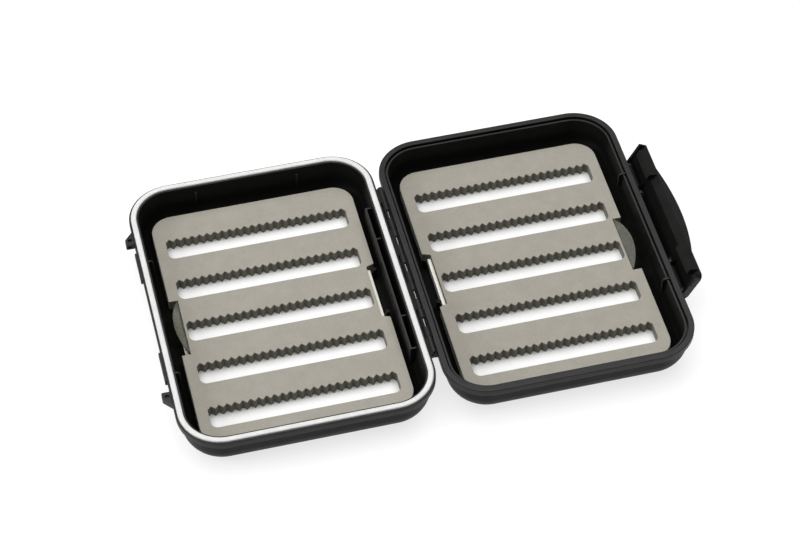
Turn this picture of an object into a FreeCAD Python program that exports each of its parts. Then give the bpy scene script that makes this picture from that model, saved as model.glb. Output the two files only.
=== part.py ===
import FreeCAD, Part
import math
import os

Vec = FreeCAD.Vector

# Pocket fly box, open flat. Millimetres, +Z up. The origin is the centre of the base tray's underside.
# The hinge runs along Y on the +X side of the base, and the lid lies beyond it.

# One overrun serves every cut.
OVERRUN = 1.0

# Trays: base and lid share one drafted shell under a proud rim flange.
TRAY_LENGTH = 123.0
TRAY_WIDTH = 91.0
TRAY_HEIGHT = 15.5
CORNER_RADIUS = 16.0
DRAFT_DEG = 5.0
SIDE_WALL = 2.1
FLOOR = 1.6
OUTER_ROUND = 9.5
INNER_ROUND = 7.6
FLANGE_HEIGHT = 2.5
FLANGE_PROUD = 1.3
FLANGE_EDGE_BEVEL = 0.25
RIM_GAP = 0.7

# Base rim: outer lip, gasket groove, inner lip.
OUTER_LIP = 0.7
GASKET_WIDTH = 2.0
GASKET_SEAT = 1.5
GASKET_BEVEL = 0.4
GASKET_CLEARANCE = 0.05

# Lid rim: flat band, narrow groove, lower inner lip.
LID_BAND = 2.15
LID_GROOVE_WIDTH = 0.5
LID_GROOVE_DEPTH = 2.0
LID_LIP_DROP = 0.8

# Hinge: interleaved knuckles on one steel pin, windows over the pin.
BARREL_RADIUS = 1.0
BARREL_CLEARANCE = 0.25
KNUCKLE_LENGTH = 13.2
END_KNUCKLE_LENGTH = 7.2
LONG_KNUCKLES = 5
KNUCKLE_GAP = 0.15
HINGE_PIN_RADIUS = 0.45
PIN_SEAT_CLEARANCE = 0.02
PIN_RUNNING_CLEARANCE = 0.05
WINDOW_LENGTH = 4.3
WINDOW_WIDTH = 1.0
PIN_END_RECESS = 0.8
LEAF_THICKNESS = 1.35
LEAF_GAP = 0.1

# Closure: a lever on the lid's free side that hooks under the base flange, all a little off centre.
CLOSURE_SHIFT = 0.8
LATCH_HALF_LENGTH = 33.8
LATCH_OPEN_DEG = 28.0
PIVOT_DROP = 4.1
PIVOT_REACH = 1.3
LATCH_PIN_RADIUS = 0.7
LATCH_PIN_OVERHANG = 0.6
LATCH_PIN_INSET = 0.55
LATCH_PIN_COVER = 0.5
LUG_RADIUS = 1.6
LUG_TOP_DROP = 0.6
OUTER_LUG = 1.5
INNER_LUG = 1.7
INNER_LUG_START = 16.6
ARM_RADIUS = 1.5
ARM_GAP = 0.2
END_ARM = 1.2
INNER_ARM = 1.5
INNER_ARM_RISE = 2.2
LATCH_SIDE_CLEARANCE = 0.3
PLATE_CLEARANCE = 0.3
LATCH_PLATE = 2.0
PLATE_EDGE_LIFT = 0.3
FREE_EDGE_RECESS = 1.3
APRON_DEPTH = 3.4
APRON_GAP = 0.4
FAR_CORNER_ROUND = 0.9
NEAR_CORNER_ROUND = 2.0
HOOK_LENGTH = 12.8
HOOK_END_GAP = 0.7
HOOK_REACH = 1.6
HOOK_HEIGHT = 3.05
HOOK_LEAD_IN = 0.7
CATCH_PROUD = 0.7
CATCH_MARGIN = 0.15
CATCH_CLEARANCE = 0.15
CATCH_TOP_DROP = 0.2

# Finger grip: a bow in the lever's free edge that fades towards the pivot.
GRIP_HALF_LENGTH = 21.0
GRIP_BOW = 3.1
GRIP_FADED_BOW = 0.3
GRIP_HEIGHT = 5.5

# Ears with lanyard holes on the base.
EAR_GAP = 1.25
EAR_FLAT = 2.55
EAR_RAMP = 3.35
EAR_REACH = 2.95
EAR_ROOT = 1.2
EAR_TOP_DROP = 0.3
EAR_THICKNESS = 2.6
EAR_HOLE_RADIUS = 0.8
EAR_HOLE_OUT = 1.2
EAR_HOLE_FROM_END = 0.55
EAR_POCKET_OUT = 0.85
EAR_POCKET_WIDTH = 1.5
EAR_POCKET_HEIGHT = 1.7
EAR_POCKET_DEPTH = 0.5
EAR_POCKET_DROP = 0.4

# Ribs and channel inside the trays.
RIB_THICKNESS = 0.8
END_RIB_REACH = 0.8
END_RIB_DROP = 2.2
END_RIB_X = 19.0
STUB_RIB_REACH = 1.6
STUB_RIB_DROP = 0.3
STUB_RIB_Y = 26.5
STUB_RIB_ROUND = 1.0
CHANNEL_HALF_LENGTH = 34.5
CHANNEL_WALL = 0.7
CHANNEL_WIDTH = 1.6
CHANNEL_DROP = 2.3
CHANNEL_RIB_Y = 18.8
PAD_HEIGHT = 0.4
PAD_HALF = 3.0
PAD_X = 25.0
PAD_Y = 40.0

# Insert: a plate, a slotted foam sheet on it and a pull tab.
INSERT_PLATE = 0.7
INSERT_PLATE_CLEARANCE = 0.28
FOAM_THICKNESS = 4.2
FOAM_SIDE_CLEARANCE = 0.14
FOAM_END_CLEARANCE = 0.39
FOAM_CORNER_EXTRA = 0.5
SLOT_COUNT = 5
SLOT_DEPTH = 9.25
SLOT_SIDE_MARGIN = 4.35
SLOT_FAR_MARGIN = 12.1
SLOT_NEAR_MARGIN = 6.2
SLOT_CORNER_ROUND = 2.5
NOTCH_COUNT = 24
NOTCH_DEPTH = 1.4
HINGE_NOTCH_DEPTH = 2.95
HINGE_NOTCH_HALF = 12.0
HINGE_NOTCH_SLANT = 1.0
TAB_NOTCH_DEPTH = 3.25
TAB_NOTCH_HALF = 12.8
RAIL_HEIGHT = 2.3
RAIL_HALF_LENGTH = 11.9
POST_RADIUS = 0.9
POST_HEIGHT = 5.4
POST_CLEARANCE = 0.35
POST_Y = 10.3
TAB_THICKNESS = 0.6
TAB_HALF_LENGTH = 12.0
TAB_REACH = 3.6
TAB_RISE = 2.0

# Heights and places that follow from the sizes above.
DRAFT = math.tan(math.radians(DRAFT_DEG))
FLANGE_BOTTOM = TRAY_HEIGHT - FLANGE_HEIGHT
RIM_INSET = FLANGE_PROUD + SIDE_WALL
BASE_EDGE_X = TRAY_WIDTH / 2
HINGE_GAP = 2 * (BARREL_RADIUS + BARREL_CLEARANCE)
HINGE_X = BASE_EDGE_X + HINGE_GAP / 2
HINGE_Z = TRAY_HEIGHT + RIM_GAP / 2
LID_CENTRE_X = 2 * HINGE_X
LID_EDGE_X = LID_CENTRE_X + TRAY_WIDTH / 2
HINGE_HALF = END_KNUCKLE_LENGTH + LONG_KNUCKLES * KNUCKLE_LENGTH / 2
PLATE_BOTTOM = FLOOR + PAD_HEIGHT
FOAM_BOTTOM = PLATE_BOTTOM + INSERT_PLATE
FOAM_TOP = FOAM_BOTTOM + FOAM_THICKNESS
PIVOT = Vec(LID_EDGE_X + PIVOT_REACH, 0, TRAY_HEIGHT - PIVOT_DROP)


def cavity_inset(z):
    """Inset of the tray's inner face from the rim's outer edge at height z, wall or bottom round."""
    centre_z = FLOOR + INNER_ROUND
    wall_at_centre = RIM_INSET + DRAFT * (TRAY_HEIGHT - centre_z)
    centre_inset = wall_at_centre + INNER_ROUND / math.cos(math.radians(DRAFT_DEG))
    if z >= centre_z:
        return RIM_INSET + DRAFT * (TRAY_HEIGHT - z)
    return centre_inset - math.sqrt(INNER_ROUND ** 2 - (centre_z - z) ** 2)


FOAM_INSET = cavity_inset(FOAM_BOTTOM) + FOAM_SIDE_CLEARANCE
FOAM_WIDTH = TRAY_WIDTH - 2 * FOAM_INSET
FOAM_LENGTH = TRAY_LENGTH - 2 * (cavity_inset(FOAM_BOTTOM) + FOAM_END_CLEARANCE)
INSERT_PLATE_INSET = cavity_inset(PLATE_BOTTOM) + INSERT_PLATE_CLEARANCE
INSERT_PLATE_EDGE = TRAY_WIDTH / 2 - INSERT_PLATE_INSET


def outline(width, length, radius, z):
    """Rounded rectangle at height z, centred on the origin."""
    arcs = []
    for sx, sy, start in ((1, 1, 0), (-1, 1, 90), (-1, -1, 180), (1, -1, 270)):
        centre = Vec(sx * (width / 2 - radius), sy * (length / 2 - radius), z)
        turn = [math.radians(start + part) for part in (0, 45, 90)]
        points = [centre + Vec(radius * math.cos(a), radius * math.sin(a), 0) for a in turn]
        arcs.append((Part.Arc(*points).toShape(), points[0], points[2]))
    edges = []
    for k, (arc, _, end) in enumerate(arcs):
        edges.append(arc)
        edges.append(Part.makeLine(end, arcs[(k + 1) % len(arcs)][1]))
    return Part.Wire(edges)


def tray_outline(inset, z):
    """The tray's plan outline drawn in by one inset all round."""
    return outline(TRAY_WIDTH - 2 * inset, TRAY_LENGTH - 2 * inset, CORNER_RADIUS - inset, z)


def tray_slab(inset, z0, z1):
    """Flat slab of the inset plan outline between two heights."""
    return Part.Face(tray_outline(inset, z0)).extrude(Vec(0, 0, z1 - z0))


def rim_ring(outer_inset, inner_inset, z0, z1):
    """Ring that follows the rim between two insets."""
    hole = tray_slab(inner_inset, z0 - OVERRUN, z1 + OVERRUN)
    return tray_slab(outer_inset, z0, z1).cut(hole)


def level_edges(shape, z):
    """Edges that lie wholly at height z."""
    tolerance = FLOOR * 1e-4
    box = [(e, e.BoundBox) for e in shape.Edges]
    return [e for e, b in box if abs(b.ZMin - z) < tolerance and abs(b.ZMax - z) < tolerance]


def tub(top_inset, z0, z1, bottom_round):
    """Drafted solid, wider at the top, with its bottom edge rounded: turned corners and straight runs."""
    half_x = TRAY_WIDTH / 2 - CORNER_RADIUS
    half_y = TRAY_LENGTH / 2 - CORNER_RADIUS
    edge = CORNER_RADIUS - top_inset
    low, high = Vec(edge - DRAFT * (z1 - z0), 0, z0), Vec(edge, 0, z1)
    corners = [Vec(0, 0, z0), low, high, Vec(0, 0, z1)]
    section = Part.Face(Part.makePolygon(corners + corners[:1]))
    origin, up = Vec(0, 0, 0), Vec(0, 0, 1)
    pieces = []
    for turn, sx, sy, run in ((0, 1, 1, half_y), (90, -1, 1, half_x), (180, -1, -1, half_y), (270, 1, -1, half_x)):
        for piece in (section.revolve(origin, up, 90), section.extrude(Vec(0, -2 * run, 0))):
            piece.rotate(origin, up, turn)
            piece.translate(Vec(sx * half_x, sy * half_y, 0))
            pieces.append(piece)
    solid = merge(block(-half_x, half_x, -half_y, half_y, z0, z1), pieces)
    return solid.makeFillet(bottom_round, level_edges(solid, z0))


def block(x0, x1, y0, y1, z0, z1):
    """Rectangular solid between corner values."""
    return Part.makeBox(x1 - x0, y1 - y0, z1 - z0, Vec(x0, y0, z0))


def profile_y(points, y0, y1):
    """Closed profile of (x, z) points extruded along Y."""
    corners = [Vec(x, y0, z) for x, z in points]
    face = Part.Face(Part.makePolygon(corners + corners[:1]))
    return face.extrude(Vec(0, y1 - y0, 0))


def rod_y(radius, x, z, y0, y1):
    """Cylinder along Y."""
    return Part.makeCylinder(radius, y1 - y0, Vec(x, y0, z), Vec(0, 1, 0))


def rod_z(radius, x, y, z0, z1):
    """Upright cylinder."""
    return Part.makeCylinder(radius, z1 - z0, Vec(x, y, z0))


def merge(first, others):
    """One solid of all the pieces, without seams."""
    return first.multiFuse(others).removeSplitter()


def off_centre(shape):
    """Move a piece of the closure from the box's middle to its place along Y."""
    shape.translate(Vec(0, CLOSURE_SHIFT, 0))
    return shape


def on_lid(shape):
    """Mirror a tray-frame shape, hinge on its +X side, to its place beyond the hinge."""
    placed = shape.mirror(Vec(0, 0, 0), Vec(1, 0, 0))
    placed.translate(Vec(LID_CENTRE_X, 0, 0))
    return placed


def shell():
    """Open drafted shell with its proud rim flange."""
    wall = tub(FLANGE_PROUD, 0, FLANGE_BOTTOM, OUTER_ROUND)
    flange = tray_slab(0, FLANGE_BOTTOM, TRAY_HEIGHT)
    edges = level_edges(flange, FLANGE_BOTTOM) + level_edges(flange, TRAY_HEIGHT)
    flange = flange.makeChamfer(FLANGE_EDGE_BEVEL, edges)
    top_inset = RIM_INSET - DRAFT * OVERRUN
    cavity = tub(top_inset, FLOOR, TRAY_HEIGHT + OVERRUN, INNER_ROUND)
    return wall.fuse(flange).cut(cavity)


def stub_rib(y):
    """Short fin on the free-side wall, its upper inner corner rounded."""
    top = TRAY_HEIGHT - STUB_RIB_DROP
    root = -TRAY_WIDTH / 2 + FLANGE_PROUD + SIDE_WALL / 2
    tip = -TRAY_WIDTH / 2 + RIM_INSET + STUB_RIB_REACH
    low = FLOOR + INNER_ROUND
    y0 = y - RIB_THICKNESS / 2
    fin = block(root, tip, y0, y0 + RIB_THICKNESS, low, top)
    near = Vec(tip, y, top)
    corner = [e for e in fin.Edges if e.CenterOfMass.distanceToPoint(near) < RIB_THICKNESS / 4]
    return fin.makeFillet(STUB_RIB_ROUND, corner)


def floor_details():
    """Pads under the insert and the posts that keep it in place, hinge on the +X side."""
    pieces = []
    post_x = INSERT_PLATE_EDGE + POST_CLEARANCE + POST_RADIUS
    for sy in (-1, 1):
        pieces.append(rod_z(POST_RADIUS, post_x, sy * POST_Y, FLOOR / 2, FLOOR + POST_HEIGHT))
        for sx in (-1, 1):
            x, y = sx * PAD_X, sy * PAD_Y
            pieces.append(block(x - PAD_HALF, x + PAD_HALF, y - PAD_HALF, y + PAD_HALF, FLOOR / 2, PLATE_BOTTOM))
    return pieces


def end_ribs():
    """Thin upright ribs on the far and near end walls."""
    pieces = []
    top = TRAY_HEIGHT - END_RIB_DROP
    tip = TRAY_LENGTH / 2 - cavity_inset(top) - END_RIB_REACH
    root = TRAY_LENGTH / 2 - FLANGE_PROUD - SIDE_WALL / 2
    for sx in (-1, 1):
        x0 = sx * END_RIB_X - RIB_THICKNESS / 2
        pieces.append(block(x0, x0 + RIB_THICKNESS, tip, root, FLOOR + INNER_ROUND / 2, top))
        pieces.append(block(x0, x0 + RIB_THICKNESS, -root, -tip, FLOOR + INNER_ROUND / 2, top))
    return pieces


def hinge_channel():
    """Upright wall beside the hinge with end walls and cross ribs."""
    top = TRAY_HEIGHT - CHANNEL_DROP
    low = FLOOR + INNER_ROUND / 4
    outer = TRAY_WIDTH / 2 - cavity_inset(top) - CHANNEL_WIDTH
    root = TRAY_WIDTH / 2 - FLANGE_PROUD - SIDE_WALL / 2
    half = CHANNEL_HALF_LENGTH
    pieces = [block(outer - CHANNEL_WALL, outer, -half, half, low, top)]
    for sy in (-1, 1):
        for y in (sy * (half - CHANNEL_WALL / 2), sy * CHANNEL_RIB_Y):
            y0 = y - CHANNEL_WALL / 2
            pieces.append(block(outer - CHANNEL_WALL / 2, root, y0, y0 + CHANNEL_WALL, low, top))
    return pieces


def knuckle_spans():
    """Y spans of the knuckles from near to far, each with its running gap."""
    marks = [-HINGE_HALF, -HINGE_HALF + END_KNUCKLE_LENGTH]
    for _ in range(LONG_KNUCKLES):
        marks.append(marks[-1] + KNUCKLE_LENGTH)
    marks.append(HINGE_HALF)
    half_gap = KNUCKLE_GAP / 2
    spans = [(a + half_gap, b - half_gap) for a, b in zip(marks[:-1], marks[1:])]
    spans[0] = (marks[0], spans[0][1])
    spans[-1] = (spans[-1][0], marks[-1])
    return spans


def knuckle(y0, y1, clearance, open_top):
    """One barrel with its web to the rim, bored for the pin, in the base's frame."""
    slant = BARREL_RADIUS * math.sqrt(0.5)
    root = BASE_EDGE_X - OUTER_LIP / 2
    web = profile_y([(root, TRAY_HEIGHT), (HINGE_X - slant, HINGE_Z + slant), (HINGE_X, HINGE_Z),
                     (HINGE_X - slant, HINGE_Z - slant), (root, FLANGE_BOTTOM + LEAF_THICKNESS / 2)], y0, y1)
    barrel = rod_y(BARREL_RADIUS, HINGE_X, HINGE_Z, y0, y1).fuse(web)
    barrel = barrel.cut(rod_y(HINGE_PIN_RADIUS + clearance, HINGE_X, HINGE_Z, y0 - OVERRUN, y1 + OVERRUN))
    if open_top:
        middle = (y0 + y1) / 2
        half = WINDOW_WIDTH / 2
        barrel = barrel.cut(block(HINGE_X - half, HINGE_X + half, middle - WINDOW_LENGTH / 2,
                                  middle + WINDOW_LENGTH / 2, HINGE_Z, HINGE_Z + BARREL_RADIUS + OVERRUN))
    return barrel


def hinge_half(first, clearance):
    """Every second knuckle from the first, with the stop leaf under them, in the base's frame."""
    spans = knuckle_spans()
    last = len(spans) - 1
    pieces = [knuckle(*spans[k], clearance, 0 < k < last) for k in range(first, len(spans), 2)]
    leaf_x0 = BASE_EDGE_X - OUTER_LIP / 2
    leaf = block(leaf_x0, HINGE_X - LEAF_GAP / 2, -HINGE_HALF, HINGE_HALF,
                 FLANGE_BOTTOM, FLANGE_BOTTOM + LEAF_THICKNESS)
    return pieces + [leaf]


def hook_span():
    """Inner and outer end of a hook block along Y."""
    outer = LATCH_HALF_LENGTH - END_ARM - ARM_GAP - OUTER_LUG - HOOK_END_GAP
    return outer - HOOK_LENGTH, outer


def catches():
    """Strips proud of the base rim that the latch hooks slide over."""
    inner, outer = hook_span()
    x0 = -BASE_EDGE_X - CATCH_PROUD
    y0, y1 = inner - CATCH_MARGIN, outer + CATCH_MARGIN
    root = -BASE_EDGE_X + OUTER_LIP / 2
    top = TRAY_HEIGHT - CATCH_TOP_DROP
    strips = [block(x0, root, y0, y1, FLANGE_BOTTOM, top), block(x0, root, -y1, -y0, FLANGE_BOTTOM, top)]
    return [off_centre(strip) for strip in strips]


def ear(side):
    """Lanyard ear on the base's free side: a flat lug that ramps back to the wall."""
    start = LATCH_HALF_LENGTH + EAR_GAP
    top = TRAY_HEIGHT - EAR_TOP_DROP
    tip = -BASE_EDGE_X - EAR_REACH
    root = -BASE_EDGE_X + EAR_ROOT
    ends = (start, start + EAR_FLAT, start + EAR_FLAT + EAR_RAMP)
    plan = [(root, ends[0]), (tip, ends[0]), (tip, ends[1]), (-BASE_EDGE_X, ends[2]), (root, ends[2])]
    corners = [Vec(x, side * y, top - EAR_THICKNESS) for x, y in plan]
    lug = Part.Face(Part.makePolygon(corners + corners[:1])).extrude(Vec(0, 0, EAR_THICKNESS))
    hole = rod_z(EAR_HOLE_RADIUS, -BASE_EDGE_X - EAR_HOLE_OUT, side * (ends[1] - EAR_HOLE_FROM_END),
                 top - EAR_THICKNESS - OVERRUN, top + OVERRUN)
    pocket_x = -BASE_EDGE_X - EAR_POCKET_OUT
    y0, y1 = sorted((side * (start - OVERRUN), side * (start + EAR_POCKET_DEPTH)))
    pocket_top = top - EAR_POCKET_DROP
    pocket = block(pocket_x - EAR_POCKET_WIDTH, pocket_x, y0, y1, pocket_top - EAR_POCKET_HEIGHT, pocket_top)
    return off_centre(lug.cut(hole.fuse(pocket)))


def make_base_tray():
    """Base tray with its gasket groove, ears, catches, knuckles and inner ribs."""
    body = shell()
    inside = floor_details() + end_ribs() + hinge_channel()
    inside += [stub_rib(sy * STUB_RIB_Y) for sy in (-1, 1)]
    outside = hinge_half(0, PIN_SEAT_CLEARANCE) + catches() + [ear(1), ear(-1)]
    body = merge(body, inside + outside)
    groove = rim_ring(OUTER_LIP, OUTER_LIP + GASKET_WIDTH, TRAY_HEIGHT - GASKET_SEAT, TRAY_HEIGHT + OVERRUN)
    return body.cut(groove)


def lug(y0, y1):
    """Lug on the lid's free side that carries a latch pin."""
    x, z = PIVOT.x, PIVOT.z
    root = LID_EDGE_X - FLANGE_PROUD - SIDE_WALL / 3
    top = TRAY_HEIGHT - LUG_TOP_DROP
    up = math.radians(120)
    down = math.radians(-75)
    points = [(root, top), (LID_EDGE_X, top),
              (x + LUG_RADIUS * math.cos(up), z + LUG_RADIUS * math.sin(up)),
              (x + LUG_RADIUS * math.cos(down), z + LUG_RADIUS * math.sin(down)),
              (root, z - LUG_RADIUS)]
    solid = profile_y(points, y0, y1).fuse(rod_y(LUG_RADIUS, x, z, y0, y1))
    bore = rod_y(LATCH_PIN_RADIUS + PIN_SEAT_CLEARANCE, x, z, y0 - OVERRUN, y1 + OVERRUN)
    return solid.cut(bore)


def lug_spans():
    """Y spans of the two lugs on the far side."""
    outer_end = LATCH_HALF_LENGTH - END_ARM - ARM_GAP
    return (INNER_LUG_START, INNER_LUG_START + INNER_LUG), (outer_end - OUTER_LUG, outer_end)


def make_lid_tray():
    """Lid tray with its banded rim, knuckles, ribs and latch lugs."""
    body = shell()
    inside = floor_details() + [stub_rib(sy * STUB_RIB_Y) for sy in (-1, 1)]
    body = merge(body, inside + hinge_half(1, PIN_RUNNING_CLEARANCE))
    groove_inner = LID_BAND + LID_GROOVE_WIDTH
    groove = rim_ring(LID_BAND, groove_inner, TRAY_HEIGHT - LID_GROOVE_DEPTH, TRAY_HEIGHT + OVERRUN)
    step = tray_slab(groove_inner, TRAY_HEIGHT - LID_LIP_DROP, TRAY_HEIGHT + OVERRUN)
    body = on_lid(body.cut(groove).cut(step))
    lugs = []
    for y0, y1 in lug_spans():
        lugs += [off_centre(lug(y0, y1)), off_centre(lug(-y1, -y0))]
    return merge(body, lugs)


def make_rim_gasket():
    """Soft ring seated in the base groove, its proud edges bevelled."""
    top = TRAY_HEIGHT + RIM_GAP - GASKET_CLEARANCE
    ring = rim_ring(OUTER_LIP, OUTER_LIP + GASKET_WIDTH, TRAY_HEIGHT - GASKET_SEAT, top)
    return ring.makeChamfer(GASKET_BEVEL, level_edges(ring, top))


def make_hinge_pin():
    """Steel pin through every knuckle, its ends sunk a little."""
    half = HINGE_HALF - PIN_END_RECESS
    return rod_y(HINGE_PIN_RADIUS, HINGE_X, HINGE_Z, -half, half)


def make_latch_pin(side):
    """Steel pin through an inner lug, the lever's barrel, an outer lug and into an end arm."""
    start, stop = INNER_LUG_START - LATCH_PIN_OVERHANG, LATCH_HALF_LENGTH - LATCH_PIN_INSET
    ends = sorted((side * start, side * stop))
    return off_centre(rod_y(LATCH_PIN_RADIUS, PIVOT.x, PIVOT.z, ends[0], ends[1]))


def latch_faces():
    """Inner and outer face of the closed lever's plate along X."""
    back = LID_EDGE_X + CATCH_PROUD + PLATE_CLEARANCE
    return back, back + LATCH_PLATE


def hook_ledge():
    """Height of the closed hooks' gripping faces in the lid's frame."""
    return 2 * HINGE_Z - FLANGE_BOTTOM + CATCH_CLEARANCE


def grip():
    """Bowed solid of the finger grip on the plate's outer face."""
    top = hook_ledge() + HOOK_HEIGHT
    back, front = latch_faces()
    root = back + FREE_EDGE_RECESS
    wires = []
    for z, bow in ((top - GRIP_HEIGHT, GRIP_FADED_BOW), (top, GRIP_BOW)):
        a = Vec(front, -GRIP_HALF_LENGTH, z)
        b = Vec(front + bow, 0, z)
        c = Vec(front, GRIP_HALF_LENGTH, z)
        inner = [Vec(root, p.y, z) for p in (c, a)]
        sides = [Part.makeLine(c, inner[0]), Part.makeLine(inner[0], inner[1]), Part.makeLine(inner[1], a)]
        wires.append(Part.Wire([Part.Arc(a, b, c).toShape()] + sides))
    return Part.makeLoft(wires, True, True)


def latch_plate():
    """Closed lever's plate, thinned along its free edge, with the apron that hangs between the pins."""
    back, front = latch_faces()
    low, ledge = PIVOT.z + LUG_RADIUS + PLATE_EDGE_LIFT, hook_ledge()
    section = [(back, low), (front, low), (front, ledge + HOOK_HEIGHT),
               (back + FREE_EDGE_RECESS, ledge + HOOK_HEIGHT), (back, ledge)]
    plate = profile_y(section, -LATCH_HALF_LENGTH, LATCH_HALF_LENGTH)
    half = INNER_LUG_START - LATCH_PIN_OVERHANG - APRON_GAP
    return plate.fuse(block(back, front, -half, half, low - APRON_DEPTH, low))


def hook(y0, y1):
    """Hook block of the closed lever, its top sloped to lead it past the catch."""
    back, ledge = latch_faces()[0], hook_ledge()
    tip, root, top = back - PLATE_CLEARANCE - HOOK_REACH, back + FREE_EDGE_RECESS, ledge + HOOK_HEIGHT
    return profile_y([(tip, ledge), (root, ledge), (root, top), (tip, top - HOOK_LEAD_IN)], y0, y1)


def arm(y0, y1, top):
    """Pivot boss with a strip from it up the plate's inner side."""
    x, z = PIVOT.x, PIVOT.z
    strip = block(LID_EDGE_X + LATCH_SIDE_CLEARANCE, latch_faces()[1], y0, y1, z, top)
    return strip.fuse(rod_y(ARM_RADIUS, x, z, y0, y1))


def rounded_ends(top):
    """Block over the closed lever with its two free corners rounded."""
    back, front = latch_faces()
    x0, x1 = back - PLATE_CLEARANCE - HOOK_REACH - OVERRUN, front + GRIP_BOW + OVERRUN
    half, low = LATCH_HALF_LENGTH, PIVOT.z - ARM_RADIUS - OVERRUN
    cover = block(x0, x1, -half, half, low, top)
    for side, radius in ((1, FAR_CORNER_ROUND), (-1, NEAR_CORNER_ROUND)):
        corner = Vec((x0 + x1) / 2, side * half, top)
        edge = [e for e in cover.Edges if e.CenterOfMass.distanceToPoint(corner) < radius / 4]
        cover = cover.makeFillet(radius, edge)
    return cover


def make_latch_lever():
    """Lever with hooks, barrels, end arms, apron and bowed grip, swung open by the rest angle."""
    x, z = PIVOT.x, PIVOT.z
    half, top = LATCH_HALF_LENGTH, hook_ledge() + HOOK_HEIGHT
    low = z + LUG_RADIUS + PLATE_EDGE_LIFT
    back, front = latch_faces()
    hook_y0, hook_y1 = hook_span()
    (_, lug_y1), (outer_y0, _) = lug_spans()
    barrel_y0, barrel_y1 = lug_y1 + ARM_GAP, outer_y0 - ARM_GAP
    bore_end = half - LATCH_PIN_COVER
    pieces, bores = [grip()], []
    for sy in (-1, 1):
        y0, y1 = sorted((sy * barrel_y0, sy * barrel_y1))
        pieces.append(rod_y(ARM_RADIUS, x, z, y0, y1))
        pieces.append(block(back, front, y0, y1, z, low))
        y0, y1 = sorted((sy * barrel_y0, sy * (barrel_y0 + INNER_ARM)))
        pieces.append(arm(y0, y1, low + INNER_ARM_RISE))
        y0, y1 = sorted((sy * (half - END_ARM), sy * half))
        pieces.append(arm(y0, y1, top))
        y0, y1 = sorted((sy * hook_y0, sy * hook_y1))
        pieces.append(hook(y0, y1))
        y0, y1 = sorted((sy * (barrel_y0 - ARM_GAP / 2), sy * bore_end))
        bores.append(rod_y(LATCH_PIN_RADIUS + PIN_RUNNING_CLEARANCE, x, z, y0, y1))
    lever = merge(latch_plate(), pieces).common(rounded_ends(top))
    lever = lever.cut(bores[0].fuse(bores[1])).removeSplitter()
    lever.rotate(PIVOT, Vec(0, 1, 0), LATCH_OPEN_DEG)
    return off_centre(lever)


def make_insert_plate():
    """Plate under the foam with the rail in its hinge-side notch."""
    plate = tray_slab(INSERT_PLATE_INSET, PLATE_BOTTOM, FOAM_BOTTOM)
    rail = block(FOAM_WIDTH / 2 - HINGE_NOTCH_DEPTH, INSERT_PLATE_EDGE, -RAIL_HALF_LENGTH, RAIL_HALF_LENGTH,
                 FOAM_BOTTOM, FOAM_BOTTOM + RAIL_HEIGHT)
    return merge(plate, [rail])


def slot_wire(near_y, z):
    """One slot: rounded near corners and a far edge of even notches."""
    half = FOAM_WIDTH / 2 - SLOT_SIDE_MARGIN
    tip_y = near_y + SLOT_DEPTH - NOTCH_DEPTH
    pitch = 2 * half / NOTCH_COUNT
    teeth = [Vec(half, tip_y, z)]
    for k in range(NOTCH_COUNT):
        x = half - k * pitch
        teeth.append(Vec(x - pitch / 2, near_y + SLOT_DEPTH, z))
        teeth.append(Vec(x - pitch, tip_y, z))
    r = SLOT_CORNER_ROUND
    bend = r * (1 - math.sqrt(0.5))
    left = Part.Arc(Vec(-half, near_y + r, z), Vec(-half + bend, near_y + bend, z), Vec(-half + r, near_y, z))
    right = Part.Arc(Vec(half - r, near_y, z), Vec(half - bend, near_y + bend, z), Vec(half, near_y + r, z))
    edges = [Part.makeLine(a, b) for a, b in zip(teeth[:-1], teeth[1:])]
    edges += [Part.makeLine(teeth[-1], Vec(-half, near_y + r, z)), left.toShape(),
              Part.makeLine(Vec(-half + r, near_y, z), Vec(half - r, near_y, z)), right.toShape(),
              Part.makeLine(Vec(half, near_y + r, z), teeth[0])]
    return Part.Wire(edges)


def make_foam():
    """Foam sheet with its serrated slots, the hinge-side notch and the pull-tab notch."""
    radius = CORNER_RADIUS - FOAM_INSET + FOAM_CORNER_EXTRA
    first = FOAM_LENGTH / 2 - SLOT_FAR_MARGIN - SLOT_DEPTH
    last = -FOAM_LENGTH / 2 + SLOT_NEAR_MARGIN
    step = (first - last) / (SLOT_COUNT - 1)
    wires = [outline(FOAM_WIDTH, FOAM_LENGTH, radius, FOAM_BOTTOM)]
    wires += [slot_wire(first - k * step, FOAM_BOTTOM) for k in range(SLOT_COUNT)]
    sheet = Part.makeFace(wires, "Part::FaceMakerBullseye").extrude(Vec(0, 0, FOAM_THICKNESS))
    edge = FOAM_WIDTH / 2
    slant = HINGE_NOTCH_SLANT * (HINGE_NOTCH_DEPTH + OVERRUN) / HINGE_NOTCH_DEPTH
    inner, half = edge - HINGE_NOTCH_DEPTH, HINGE_NOTCH_HALF
    plan = [(inner, -half), (edge + OVERRUN, -half - slant), (edge + OVERRUN, half + slant), (inner, half)]
    corners = [Vec(x, y, FOAM_BOTTOM - OVERRUN) for x, y in plan]
    height = Vec(0, 0, FOAM_THICKNESS + 2 * OVERRUN)
    hinge_notch = Part.Face(Part.makePolygon(corners + corners[:1])).extrude(height)
    tab_notch = block(-edge - OVERRUN, -edge + TAB_NOTCH_DEPTH, -TAB_NOTCH_HALF, TAB_NOTCH_HALF,
                      FOAM_BOTTOM - OVERRUN, FOAM_TOP + OVERRUN)
    return sheet.cut(hinge_notch).cut(tab_notch)


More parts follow.
